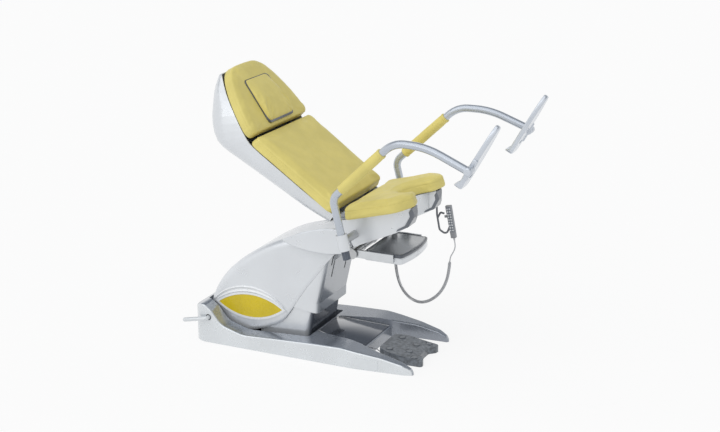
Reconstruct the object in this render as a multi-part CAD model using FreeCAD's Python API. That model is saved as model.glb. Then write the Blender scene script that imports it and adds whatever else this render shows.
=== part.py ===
"""Examination chair with leg supports: a base, a lift arm, a carriage, a seat, a back and two leg supports.

Frame: +X towards the foot end, +Y to the sitter's left, +Z up, origin on the floor. Millimetres and degrees.
"""
import FreeCAD, Part
import math
import os

os.makedirs("parts", exist_ok=True)
Vec = FreeCAD.Vector
Y_AXIS = Vec(0, 1, 0)

# Base
BASE_REAR = -850.0
BASE_HALF = 290.0
PRONG_TIP = 396.0
PRONG_HALF = 262.0
BASE_WALL = 5.0
RIM_ROUND = 9.0
BASE_LIFT = 1.0
PLATE_T = 8.0
GAP = 0.3
WELL_REAR = -790.0
WELL_FRONT = -190.0
RAMP_REAR_Z = 93.0
RAMP_FRONT_Z = 58.0
RAMP_FRONT = 100.0
RAMP_REAR_HALF = 120.0
RAMP_FRONT_HALF = 180.0

# Lift linkage
ARM_FOOT = Vec(-620, 0, 120)
ARM_HEAD = Vec(-20, 0, 610)
LINK_DROP = 55.0
ARM_HALF = 185.0
ARM_ROUND = 40.0
COVER_WALL = 4.0
WELL_CLEAR = 20.0
WELL_HALF = ARM_HALF + WELL_CLEAR
SHAFT_R = 14.0
RUNNING = 0.05
ARM_PLATE_Y = 100.0
ARM_PLATE_T = 10.0
ARM_PLATE_R = 28.0
LINK_Y = 72.0
LINK_T = 8.0
LINK_R = 13.0
LINK_PIN_R = 8.0
EAR_Y = 60.0
EAR_T = 8.0
ACTUATOR_FOOT = Vec(-260, 0, 45)
ACTUATOR_HEAD = Vec(-430, 0, 330)
MOTOR_R = 28.0
MOTOR_LENGTH = 190.0
ROD_R = 12.0
CROSS_TUBE_R = 15.0
HOUSING_TOP = 250.0
HOUSING_REAR = -480.0
HOUSING_ROUND = 30.0
SHIELD_CLEAR = 2.0
SHIELD_T = 5.0
SHIELD_ROUND = 30.0
SHIELD_HALF = ARM_HALF - COVER_WALL - SHIELD_CLEAR
HOUSING_HALF = SHIELD_HALF - SHIELD_T - 3.0
SHIELD_TOP = 500.0
LINK_SLOT_LOW = 380.0
PLATE_SLOT_LOW = 452.0
SLOT_CLEAR = 2.5
SHIELD_GUIDE = Vec(-232, 0, 403)

# Carriage, on the arm's head shaft
CARRIAGE_PLATE_Y = ARM_HALF + 3.0
CARRIAGE_PLATE_T = 8.0
SEAT_PLATE_Y = CARRIAGE_PLATE_Y + CARRIAGE_PLATE_T + 3.0
SEAT_PLATE_T = 8.0
CARRIAGE_COVER_Y = SEAT_PLATE_Y + SEAT_PLATE_T + 5.0
CARRIAGE_COVER_T = 26.0
CARRIAGE_TUBE = Vec(45, 0, 560)

# Seat
SEAT_TILT = 15.2
SEAT_REAR = Vec(39, 0, 752)
SEAT_PAD_T = 62.0
SEAT_HALF = 290.0
SEAT_TIP = 358.0
NOTCH_HALF = 95.0
NOTCH_START = 198.0
SHELL_HALF = 240.0
SEAT_TUBE_R = 14.0
BACK_PIVOT = Vec(14, 0, 790)
HINGE_PIN_R = 5.0

# Back and head section
BACK_TILT = 35.3
BACK_FOOT = Vec(-15, 0, 771)
BACK_LENGTH = 538.0
BACK_HALF = 297.0
PAD_T = 55.0
PAD_GAP = 24.1
HEAD_TILT = 53.0
HEAD_RISE = Vec(3.78, 0, 8.16)
HEAD_FOOT = BACK_FOOT + HEAD_RISE + Vec(
    -math.cos(math.radians(BACK_TILT)), 0, math.sin(math.radians(BACK_TILT))) * (BACK_LENGTH + PAD_GAP)
HEAD_LENGTH = 366.0
HEAD_TOP_HALF = 170.0
BOARD_T = 4.0
BACK_WALL = 5.0
PILLOW_LENGTH = 245.0
PILLOW_HALF = 128.0
PILLOW_T = 40.0

# Leg supports
LEG_Y = 375.0
LEG_SPLAY = 0.0865
LEG_TUBE_R = 19.0
LEG_WALL = 2.5
SLEEVE_R = 25.0
LEG_FOOT = Vec(79, 0, 702)
LEG_BENDS = (Vec(31, 0, 891), Vec(352, 0, 1199.3), Vec(520, 0, 1199))
LEG_RADII = (60.0, 150.0, 400.0)
LEG_END = Vec(728, 0, 1116.7)
CLAMP_R = 28.0
CLAMP_DEPTH = 60.0
KNOB_R = 19.0
FOOT_HUB_R = 20.0
FOOT_PIN_R = 10.0
HUB_PROUD = 6.0
PLATE_Y = 347.0
FOOT_PLATE_HALF = 52.0
FOOT_PLATE_LENGTH = 346.0
FOOT_PLATE_T = 24.0
FOOT_TILT = 60.6
HEEL = Vec(675, 0, 1008)
HEEL_WALL = 47.0

# Tray, handset and cords
TRAY_REAR = 100.0
TRAY_FRONT = 320.0
TRAY_CLEAR = 20.0
TRAY_HALF = CARRIAGE_PLATE_Y - TRAY_CLEAR
TRAY_LOW = 530.0
TRAY_TOP = 577.0
HANDSET_CLEAR = 12.0
HANDSET_Y = CARRIAGE_PLATE_Y + HANDSET_CLEAR
HANDSET_TOP = Vec(393, 0, 746)
HANDSET_TILT = 11.4
HANDSET_LENGTH = 170.0
HANDSET_WIDTH = 32.0
HANDSET_T = 20.0
COIL_R = 8.5
CORD_R = 3.0

# Foot control
PEDAL_Y = -15.0
PEDAL_REAR = 158.0
PEDAL_FRONT = 398.0
PEDAL_HALF = 124.0
PEDAL_TOP = 52.0
PEDAL_WALL = 3.0
BUTTON_R = 16.0
BUTTON_TRAVEL = 3.0


SMOOTH = -1
made = {}


def save(name, *solids):
    shape = solids[0] if len(solids) == 1 else Part.makeCompound(list(solids))
    if not shape.isValid() or not shape.Solids:
        raise ValueError("unsound shape: " + name)
    shape.exportStep("parts/" + name + ".step")
    print(name, len(shape.Solids), round(shape.Volume / 1000, 1))


def block(x0, x1, y0, y1, z0, z1):
    return Part.makeBox(x1 - x0, y1 - y0, z1 - z0, Vec(x0, y0, z0))


def rod(start, end, radius):
    run = end - start
    return Part.makeCylinder(radius, run.Length, start, run)


def cross_rod(centre, radius, y0, y1):
    return Part.makeCylinder(radius, y1 - y0, Vec(centre.x, y0, centre.z), Y_AXIS)


def shifted(shape, x=0.0, y=0.0, z=0.0):
    copy = shape.copy()
    copy.translate(Vec(x, y, z))
    return copy


def mirrored(shape):
    return shape.mirror(Vec(0, 0, 0), Y_AXIS)


def both_sides(shape):
    return [shape, mirrored(shape)]


def joined(*shapes):
    return shapes[0].fuse(list(shapes[1:])).removeSplitter()


def placed(shape, foot, tilt):
    """Turns a shape modelled flat by tilt about Y, then moves its origin to foot."""
    copy = shape.copy()
    copy.Placement = FreeCAD.Placement(foot, FreeCAD.Rotation(Y_AXIS, tilt)).multiply(shape.Placement)
    return copy


def rounded_path(points, radii, closed):
    """A wire through the points whose corners are arcs of the radii."""
    count = len(points)
    entries = []
    for i in range(count):
        corner = points[i]
        if radii[i] == 0 or (not closed and i in (0, count - 1)):
            entries.append((corner, None, corner))
            continue
        before = (points[i - 1] - corner).normalize()
        after = (points[(i + 1) % count] - corner).normalize()
        half_turn = (math.pi - before.getAngle(after)) / 2
        reach = radii[i] * math.tan(half_turn)
        middle = (before + after).normalize() * (radii[i] / math.cos(half_turn) - radii[i])
        entries.append((corner + before * reach, corner + middle, corner + after * reach))
    edges = []
    for i in range(count):
        first, middle, last = entries[i]
        if middle is not None:
            edges.append(Part.Arc(first, middle, last).toShape())
        if i == count - 1 and not closed:
            break
        following = entries[(i + 1) % count][0]
        if (following - last).Length > 1e-4:
            edges.append(Part.LineSegment(last, following).toShape())
    return Part.Wire(edges)


def widest_radius(before, corner, after):
    """The largest arc that fits at the corner when its neighbours have theirs."""
    back = before - corner
    ahead = after - corner
    turn = math.pi - back.getAngle(ahead)
    return 0.49 * min(back.Length, ahead.Length) / math.tan(turn / 2)


def outline(corners, plane):
    """A closed flat wire in plane xz, xy or yz; a corner is (a, b), (a, b, radius) or (a, b, SMOOTH)."""
    turn = {"xz": lambda a, b: Vec(a, 0, b), "xy": lambda a, b: Vec(a, b, 0), "yz": lambda a, b: Vec(0, a, b)}
    points = [turn[plane](corner[0], corner[1]) for corner in corners]
    count = len(points)
    radii = []
    for i, corner in enumerate(corners):
        radius = corner[2] if len(corner) > 2 else 0
        if radius == SMOOTH:
            radius = widest_radius(points[i - 1], points[i], points[(i + 1) % count])
        radii.append(radius)
    return rounded_path(points, radii, True)


def prism(corners, plane, low, high, inset=0.0):
    """The outline, drawn in by inset, pulled from low to high along the plane's normal."""
    normal = {"xz": Y_AXIS, "xy": Vec(0, 0, 1), "yz": Vec(1, 0, 0)}[plane]
    face = Part.Face(outline(corners, plane))
    if inset:
        face = face.makeOffset2D(-inset)
    face.translate(normal * low)
    return face.extrude(normal * (high - low))


def bar(start, end, radius, y0, y1):
    """A flat bar with round ends in the XZ plane, from y0 to y1."""
    run = end - start
    side = Vec(-run.z, 0, run.x).normalize() * radius
    ahead = Vec(run.x, 0, run.z).normalize() * radius
    edges = [
        Part.LineSegment(start + side, end + side).toShape(),
        Part.Arc(end + side, end + ahead, end - side).toShape(),
        Part.LineSegment(end - side, start - side).toShape(),
        Part.Arc(start - side, start - ahead, start + side).toShape(),
    ]
    face = Part.Face(Part.Wire(edges))
    face.translate(Vec(0, y0, 0))
    return face.extrude(Vec(0, y1 - y0, 0))


def pipe(points, radii, radius):
    """A round solid along the path."""
    path = rounded_path(points, radii, False)
    start = points[0]
    circle = Part.Wire(Part.makeCircle(radius, start, points[1] - start))
    return path.makePipeShell([circle], True, False)


def rim_edges(shape, axis, places):
    """The edges that lie whole in one of the planes axis = place."""
    chosen = []
    for edge in shape.Edges:
        box = edge.BoundBox
        low, high = {"x": (box.XMin, box.XMax), "y": (box.YMin, box.YMax), "z": (box.ZMin, box.ZMax)}[axis]
        if any(abs(low - place) < 0.01 and abs(high - place) < 0.01 for place in places):
            chosen.append(edge)
    return chosen


def softened(shape, radius, axis, places):
    return shape.makeFillet(radius, rim_edges(shape, axis, places))


def mirror_corners(corners):
    """The same corners on the other side of b = 0, in reverse order."""
    return [(corner[0], -corner[1]) + tuple(corner[2:]) for corner in reversed(corners)]


def base_plan():
    near = [
        (BASE_REAR, -165, 110),
        (BASE_REAR + 55, -BASE_HALF, 90),
        (94, -BASE_HALF, 500),
        (350, -PRONG_HALF, 60),
        (PRONG_TIP, -PRONG_HALF + 15, 14),
        (PRONG_TIP, -PRONG_HALF + 38, 12),
        (225, -214, 120),
        (RAMP_FRONT, -RAMP_FRONT_HALF, 8),
    ]
    return near + mirror_corners(near)


def base_side():
    """The base's rim height along its length."""
    return [
        (BASE_REAR - 10, 0),
        (BASE_REAR - 10, 100, 40),
        (-838, 172, 40),
        (-754, 212, 34),
        (-706, 176, 60),
        (-650, 108, 90),
        (-530, 74, 160),
        (-171, 93, 200),
        (30, 99, 300),
        (125, 88, 200),
        (232, 75, 200),
        (339, 52, 60),
        (385, 31, 18),
        (PRONG_TIP + 6, 0),
    ]


def base_body(inset, drop):
    """The base's outer form, drawn in by inset and lowered by drop."""
    plan = prism(base_plan(), "xy", BASE_LIFT - drop, 240, inset)
    side = shifted(prism(base_side(), "xz", -BASE_HALF - 20, BASE_HALF + 20), z=-drop)
    return plan.common(side)


def well(grow):
    half = WELL_HALF + grow
    rear = WELL_REAR - grow
    front = WELL_FRONT + grow
    corners = [(rear, -half, 60), (front, -half, 12), (front, half, 12), (rear, half, 60)]
    return prism(corners, "xy", -10, 260)


def ramp(grow):
    """The space above the sloped tread between the prongs."""
    front = RAMP_FRONT + 40
    slope = (RAMP_FRONT_Z - RAMP_REAR_Z) / (RAMP_FRONT - WELL_FRONT)
    front_z = RAMP_FRONT_Z + slope * 40
    side = prism(
        [(WELL_FRONT - 30, RAMP_REAR_Z - slope * 30 - grow), (front, front_z - grow), (front, 260),
         (WELL_FRONT - 30, 260)], "xz", -260, 260)
    splay = (RAMP_FRONT_HALF - RAMP_REAR_HALF) / (RAMP_FRONT - WELL_FRONT)
    rear_half = RAMP_REAR_HALF - splay * 30 + grow
    front_half = RAMP_FRONT_HALF + splay * 40 + grow
    plan = prism([(WELL_FRONT - 30, -rear_half), (front, -front_half), (front, front_half),
                  (WELL_FRONT - 30, rear_half)], "xy", 0, 260)
    return side.common(plan)


LEVER_HOLE = Vec(-722, 0, 140)
LEVER_R = 11.0
LEVER_CLEAR = 5.0
FLAP_REAR = 91.0
FLAP_FRONT = 223.0
FLAP_LOW = 8.0
FLAP_TOP = 58.0
FLAP_T = 1.5
SCREW_R = 6.0
SCREW_SPOTS = [(-818, -150), (-818, 150), (-60, -235), (-60, 235)]


def upper_rim(form):
    """The edges round the base body's top, without those that run across it."""
    return [edge for edge in form.Edges if edge.BoundBox.ZMin > 12 and edge.BoundBox.ZMax > 30
            and edge.BoundBox.YLength < 2 * BASE_HALF - 200 and edge.BoundBox.XLength + edge.BoundBox.YLength > 1]


def make_base():
    form = base_body(0, 0)
    form = form.makeFillet(RIM_ROUND, upper_rim(form))
    cavity = base_body(BASE_WALL, BASE_WALL).cut(well(BASE_WALL)).cut(ramp(BASE_WALL))
    cover = form.cut(cavity).cut(well(0)).cut(ramp(0))
    cover = cover.cut(cross_rod(LEVER_HOLE, LEVER_R + LEVER_CLEAR, -BASE_HALF - 20, -WELL_HALF - 30))
    hole_y = PEDAL_Y - 45
    cover = cover.cut(rod(Vec(RAMP_FRONT - 20, hole_y, 26), Vec(RAMP_FRONT + 20, hole_y, 26), CORD_R + GAP))
    plate = prism(base_plan(), "xy", 0, PLATE_T, BASE_WALL + GAP)
    save("base_cover", cover.cut(plate))
    for x, y in SCREW_SPOTS:
        plate = plate.cut(Part.makeCylinder(SCREW_R, PLATE_T + 2, Vec(x, y, -1)))
    save("floor_plate", plate)

    screws = []
    for x, y in SCREW_SPOTS:
        shank = Part.makeCylinder(SCREW_R, 30, Vec(x, y, 0))
        nut = prism([(x + 11 * math.cos(math.radians(60 * i)), y + 11 * math.sin(math.radians(60 * i)))
                     for i in range(6)], "xy", PLATE_T, PLATE_T + 8)
        screws.append(joined(shank, nut))
    save("levelling_screws", *screws)

    grown = base_body(-FLAP_T, 0)
    window = prism([(FLAP_REAR, FLAP_LOW, 8), (FLAP_FRONT, FLAP_LOW, 8), (FLAP_FRONT, FLAP_TOP, 8),
                    (FLAP_REAR, FLAP_TOP, 8)], "xz", -BASE_HALF - 30, -PRONG_HALF + 5)
    flap = grown.common(window).cut(form)
    save("side_flaps", *both_sides(flap))

    drop = Vec(0, 0, -LINK_DROP)
    sides = []
    for face in both_sides(prism(
            [(-690, PLATE_T), (-550, PLATE_T), (-578, 140, 30), (-600, 162, 25), (-640, 162, 25), (-662, 140, 30)],
            "xz", ARM_PLATE_Y + ARM_PLATE_T + 4, ARM_PLATE_Y + ARM_PLATE_T + 16)):
        face = face.cut(cross_rod(ARM_FOOT, SHAFT_R, -140, 140))
        sides.append(face.cut(cross_rod(ARM_FOOT + drop, LINK_PIN_R, -140, 140)))
    lever_plate = prism([(-752, PLATE_T), (-692, PLATE_T), (-702, 165, 15), (-742, 165, 15)],
                        "xz", -WELL_HALF - 43, -WELL_HALF - 35)
    sides.append(lever_plate.cut(cross_rod(LEVER_HOLE, LEVER_R + RUNNING, -BASE_HALF, -WELL_HALF)))
    motor_foot = block(ACTUATOR_FOOT.x - 24, ACTUATOR_FOOT.x + 24, -34, 34, PLATE_T, ACTUATOR_FOOT.z + 12)
    run = (ACTUATOR_HEAD - ACTUATOR_FOOT).normalize()
    motor_foot = motor_foot.cut(rod(ACTUATOR_FOOT, ACTUATOR_FOOT + run * 120, MOTOR_R))
    save("pivot_brackets", *sides, motor_foot)
    save("arm_pivot_shaft", cross_rod(ARM_FOOT, SHAFT_R, -132, 132),
         cross_rod(ARM_FOOT + drop, LINK_PIN_R, -130, 130))

    motor = rod(ACTUATOR_FOOT, ACTUATOR_FOOT + run * MOTOR_LENGTH, MOTOR_R)
    motor = motor.cut(rod(ACTUATOR_FOOT + run * 60, ACTUATOR_FOOT + run * (MOTOR_LENGTH + 1), ROD_R + RUNNING))
    save("lift_motor", motor)
    rod_start = ACTUATOR_FOOT + run * 155
    rod_end = ACTUATOR_HEAD - run * (CROSS_TUBE_R + 4)
    save("lift_rod", rod(rod_start, rod_end, ROD_R))

    box = block(-560, -360, WELL_HALF + BASE_WALL + 5, BASE_HALF - BASE_WALL - 5, PLATE_T, 62)
    save("control_box", box.makeFillet(4, rim_edges(box, "z", [62])))

    make_housing()
    make_lever()


def front_uprights(shape, behind):
    """The long upright edges at both sides of the front wall."""
    return [edge for edge in shape.Edges
            if edge.BoundBox.YLength < 0.01 and edge.BoundBox.XMin > behind and edge.BoundBox.ZLength > 40]


def make_housing():
    """The lower column housing that the arm's front shield slides over."""
    front = [(-204, RAMP_REAR_Z + 2), (-178, HOUSING_TOP)]
    outer = [(HOUSING_REAR, PLATE_T), (-206, PLATE_T)] + front + [(-300, HOUSING_TOP - 26, 30),
                                                      (HOUSING_REAR, 96)]
    body = prism(outer, "xz", -HOUSING_HALF, HOUSING_HALF)
    body = body.makeFillet(HOUSING_ROUND, front_uprights(body, -220))
    wall = BASE_WALL
    behind = HOUSING_REAR - 10
    inner = prism([(behind, PLATE_T - 1), (-206 - wall, PLATE_T - 1), (-204 - wall, RAMP_REAR_Z + 2),
                   (-178 - wall, HOUSING_TOP + 10), (behind, HOUSING_TOP + 10)],
                  "xz", -HOUSING_HALF + wall, HOUSING_HALF - wall)
    inner = inner.makeFillet(HOUSING_ROUND - wall, front_uprights(inner, -220))
    body = body.cut(inner)
    for side in both_sides(block(-240, -150, LINK_Y - 8, ARM_PLATE_Y + ARM_PLATE_T + 8, 190, HOUSING_TOP + 5)):
        body = body.cut(side)
    save("column_housing", body)


def make_lever():
    out = -BASE_HALF - 16
    points = [Vec(LEVER_HOLE.x, -WELL_HALF - 27, LEVER_HOLE.z), Vec(LEVER_HOLE.x, out, LEVER_HOLE.z),
              Vec(-854, out, 111)]
    body = pipe(points, [0, 14, 0], LEVER_R)
    end = Part.makeSphere(LEVER_R, points[2])
    save("transport_lever", joined(body, end))


def arm_side():
    """The arm cover's side outline: roof, front end, S-shaped lower edge, and the round rear."""
    return [
        (-784, 128, SMOOTH),
        (-770, 205, SMOOTH),
        (-736, 280, SMOOTH),
        (-680, 358, SMOOTH),
        (-600, 432, SMOOTH),
        (-500, 502, SMOOTH),
        (-400, 556, SMOOTH),
        (-300, 590, SMOOTH),
        (-190, 614, SMOOTH),
        (-80, 636, SMOOTH),
        (10, 656, 36),
        (38, 612, 26),
        (14, 556, 20),
        (-30, 532, 24),
        (-80, 478, SMOOTH),
        (-135, 405, SMOOTH),
        (-191, 334, SMOOTH),
        (-240, 262, SMOOTH),
        (-290, 180, SMOOTH),
        (-336, 118, SMOOTH),
        (-420, 76, SMOOTH),
        (-520, 42, SMOOTH),
        (-640, 16, SMOOTH),
        (-740, 44, SMOOTH),
    ]


def lens_outline(grow):
    """The lens shape of the side panel: two arcs that meet in points, grown all round."""
    left = Vec(-714 - 1.6 * grow, 0, 196)
    right = Vec(-347 + 1.6 * grow, 0, 204)
    top = Part.Arc(left, Vec(-545, 0, 258 + grow), right).toShape()
    bottom = Part.Arc(right, Vec(-515, 0, 139 - grow), left).toShape()
    return Part.Face(Part.Wire([top, bottom]))


def make_arm():
    whole = prism(arm_side(), "xz", -ARM_HALF, ARM_HALF)
    roof = [edge for edge in rim_edges(whole, "y", [-ARM_HALF, ARM_HALF])
            if edge.BoundBox.ZMin > 120 and edge.CenterOfMass.z > 0.817 * (edge.CenterOfMass.x + 620) + 120]
    whole = whole.makeFillet(ARM_ROUND, roof)
    side = prism(arm_side(), "xz", -ARM_HALF + COVER_WALL, ARM_HALF - COVER_WALL, COVER_WALL)
    inner_roof = [edge for edge in rim_edges(side, "y", [-ARM_HALF + COVER_WALL, ARM_HALF - COVER_WALL])
                  if edge.BoundBox.ZMin > 120 and edge.CenterOfMass.z > 0.817 * (edge.CenterOfMass.x + 620) + 120]
    side = side.makeFillet(ARM_ROUND - COVER_WALL, inner_roof)
    cover = whole.cut(side)
    under = prism([(-700, -30), (-300, 60), (60, 500), (60, 636), (-60, 636), (-330, 400), (-560, 250), (-720, 60)],
                  "xz", -ARM_HALF + COVER_WALL, ARM_HALF - COVER_WALL)
    cover = cover.cut(under)
    cover = cover.cut(cross_rod(ARM_HEAD, SHAFT_R + GAP, -ARM_HALF - 5, ARM_HALF + 5))
    save("arm_cover", cover)

    lens = lens_outline(0).extrude(Vec(0, 5, 0))
    rim = lens_outline(12).extrude(Vec(0, 7, 0)).cut(lens_outline(0.2).extrude(Vec(0, 7, 0)))
    save("lens_panels", *both_sides(shifted(lens, y=ARM_HALF)))
    save("lens_frames", *both_sides(shifted(rim, y=ARM_HALF)))

    y0 = ARM_PLATE_Y
    y1 = ARM_PLATE_Y + ARM_PLATE_T
    plate = bar(ARM_FOOT, ARM_HEAD, ARM_PLATE_R, y0, y1)
    lug_root = ARM_FOOT + (ARM_HEAD - ARM_FOOT) * 0.32
    plate = joined(plate, bar(lug_root, ACTUATOR_HEAD, 24, y0, y1))
    plate = plate.cut(cross_rod(ARM_FOOT, SHAFT_R + RUNNING, -200, 200))
    plate = plate.cut(cross_rod(ARM_HEAD, SHAFT_R, -200, 200))
    parts = both_sides(plate)
    parts.append(cross_rod(ACTUATOR_HEAD, CROSS_TUBE_R, -y0, y0))
    for spot in (Vec(-520, 0, 205), Vec(-392, 0, 308)):
        parts += both_sides(cross_rod(spot, 10, y1, ARM_HALF - COVER_WALL))
    parts += both_sides(cross_rod(SHIELD_GUIDE, 12, y1, SHIELD_HALF - SHIELD_T - GAP))
    save("arm_frame", joined(*parts))
    reach = CARRIAGE_COVER_Y + 2
    save("arm_top_shaft", cross_rod(ARM_HEAD, SHAFT_R, -reach, reach))

    foot = ARM_FOOT + Vec(0, 0, -LINK_DROP)
    head = ARM_HEAD + Vec(0, 0, -LINK_DROP)
    link = bar(foot, head, LINK_R, LINK_Y, LINK_Y + LINK_T)
    link = link.cut(cross_rod(foot, LINK_PIN_R + RUNNING, -100, 100))
    link = link.cut(cross_rod(head, LINK_PIN_R + 1.5, -100, 100))
    span = [cross_rod(foot + (head - foot) * share, 8, -LINK_Y, LINK_Y) for share in (0.2, 0.8)]
    save("parallel_link", joined(*both_sides(link), *span))
    make_shield()


def make_shield():
    """The front shield under the arm: a front wall and two side wings."""
    line = [(-152, 208), (-150, 260), (-97, SHIELD_TOP), (-150, SHIELD_TOP - 4, 20), (-205, 430, 60), (-318, 400),
            (-322, 232)]
    body = prism(line, "xz", -SHIELD_HALF, SHIELD_HALF)
    body = body.makeFillet(SHIELD_ROUND, front_uprights(body, -160))
    inner = prism([(-158, 200), (-155, 260), (-98.5, SHIELD_TOP + 10), (-330, SHIELD_TOP + 10), (-330, 200)], "xz",
                  -SHIELD_HALF + SHIELD_T, SHIELD_HALF - SHIELD_T)
    inner = inner.makeFillet(SHIELD_ROUND - SHIELD_T, front_uprights(inner, -160))
    shield = body.cut(inner)
    for y, thickness, low in ((LINK_Y, LINK_T, LINK_SLOT_LOW), (ARM_PLATE_Y, ARM_PLATE_T, PLATE_SLOT_LOW)):
        for slot in both_sides(block(-170, -80, y - SLOT_CLEAR, y + thickness + SLOT_CLEAR, low, SHIELD_TOP + 10)):
            shield = shield.cut(slot)
    save("front_shield", shield)


def carriage_side():
    return [
        (-325, 592, 8),
        (-253, 569, 120),
        (-170, 556, 150),
        (-70, 553, 200),
        (10, 566, 60),
        (52, 596, 40),
        (56, 640, 40),
        (34, 678, 40),
        (-20, 692, 60),
        (-110, 681, 300),
        (-210, 650, 300),
        (-290, 612, 100),
    ]


def make_carriage():
    tube_y = CARRIAGE_PLATE_Y + CARRIAGE_PLATE_T
    boss = Vec(-200, 0, 605)
    plate = joined(bar(ARM_HEAD, CARRIAGE_TUBE, 26, CARRIAGE_PLATE_Y, tube_y),
                   bar(ARM_HEAD, boss, 22, CARRIAGE_PLATE_Y, tube_y))
    plate = plate.cut(cross_rod(ARM_HEAD, SHAFT_R + RUNNING, -250, 250))
    pin = ARM_HEAD + Vec(0, 0, -LINK_DROP)
    ear = joined(bar(ARM_HEAD, pin, 20, EAR_Y, EAR_Y + EAR_T), bar(pin, CARRIAGE_TUBE, 18, EAR_Y, EAR_Y + EAR_T),
                 bar(ARM_HEAD, CARRIAGE_TUBE, 18, EAR_Y, EAR_Y + EAR_T))
    ear = ear.cut(cross_rod(ARM_HEAD, SHAFT_R + RUNNING, -250, 250))
    frame = both_sides(plate) + both_sides(ear)
    frame.append(cross_rod(CARRIAGE_TUBE, CROSS_TUBE_R, -tube_y, tube_y))
    frame.append(cross_rod(pin, LINK_PIN_R, -LINK_Y - LINK_T - 4, LINK_Y + LINK_T + 4))
    frame += both_sides(cross_rod(boss, 12, tube_y, CARRIAGE_COVER_Y + COVER_WALL))
    save("carriage_frame", joined(*frame))

    whole = prism(carriage_side(), "xz", CARRIAGE_COVER_Y, CARRIAGE_COVER_Y + CARRIAGE_COVER_T)
    whole = softened(whole, 7, "y", [CARRIAGE_COVER_Y + CARRIAGE_COVER_T])
    inner = prism(carriage_side(), "xz", CARRIAGE_COVER_Y - 1,
                  CARRIAGE_COVER_Y + CARRIAGE_COVER_T - COVER_WALL, COVER_WALL)
    cover = whole.cut(inner)
    seat = cross_rod(boss, 18, CARRIAGE_COVER_Y + COVER_WALL, CARRIAGE_COVER_Y + CARRIAGE_COVER_T - 1)
    cover = joined(cover, seat)
    save("carriage_cover_left", cover)
    save("carriage_cover_right", mirrored(cover))

    rail = block(CARRIAGE_TUBE.x - 22, TRAY_FRONT - 60, TRAY_HALF + 2, TRAY_HALF + 14, TRAY_TOP - 36, TRAY_TOP + 3)
    groove = block(TRAY_REAR - 45, TRAY_FRONT, TRAY_HALF, TRAY_HALF + 10 + GAP,
                   TRAY_TOP - 17 - GAP, TRAY_TOP - 11 + GAP)
    rail = rail.cut(groove).cut(cross_rod(CARRIAGE_TUBE, CROSS_TUBE_R, -250, 250))
    save("tray_rails", *both_sides(rail))


def make_tray():
    corners = [(TRAY_REAR, -TRAY_HALF, 12), (TRAY_FRONT - 22, -TRAY_HALF, 14), (TRAY_FRONT, 0, 560),
               (TRAY_FRONT - 22, TRAY_HALF, 14), (TRAY_REAR, TRAY_HALF, 12)]
    body = prism(corners, "xy", TRAY_LOW, TRAY_TOP)
    lip = 16.0
    hole = prism(corners, "xy", TRAY_LOW - 1, TRAY_TOP + 1, lip)
    frame = body.cut(hole)
    tongue = block(TRAY_REAR + 10, TRAY_FRONT - 40, TRAY_HALF - 2, TRAY_HALF + 10, TRAY_TOP - 17, TRAY_TOP - 11)
    frame = joined(frame, *both_sides(tongue))
    save("tray_frame", frame)
    wall = 1.5
    outer = prism(corners, "xy", TRAY_LOW + 2, TRAY_TOP, lip)
    flange = prism(corners, "xy", TRAY_TOP, TRAY_TOP + wall, lip - 6)
    inner = prism(corners, "xy", TRAY_LOW + 2 + wall, TRAY_TOP + 5, lip + wall)
    basin = joined(outer, flange).cut(inner)
    save("tray_basin", basin)


def seat_plan():
    near = [
        (0, -SEAT_HALF + 5, 40),
        (296, -SEAT_HALF - 2, 95),
        (SEAT_TIP, -196, 62),
        (SEAT_TIP - 30, -NOTCH_HALF, 40),
        (NOTCH_START, -NOTCH_HALF, 0.94 * NOTCH_HALF),
    ]
    return near + mirror_corners(near)


def seat_shell_side():
    return [
        (75, 614, 10),
        (300, 716, 60),
        (345, 740, 24),
        (366, 790, 24),
        (356, 834, 6),
        (39, 748, 4),
        (2, 738, 8),
        (18, 690, 10),
        (58, 650, 60),
    ]


def seat_shell_plan():
    near = [
        (-20, -SHELL_HALF + 10, 30),
        (90, -SHELL_HALF, 80),
        (304, -SHELL_HALF, 60),
        (362, -188, 40),
        (368, -128, 24),
        (300, -112, 40),
        (226, -110, 0.9 * 110),
    ]
    return near + mirror_corners(near)


LEG_BOSS = Vec(84, 0, 682)
LEG_BOSS_R = 20.0


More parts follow.
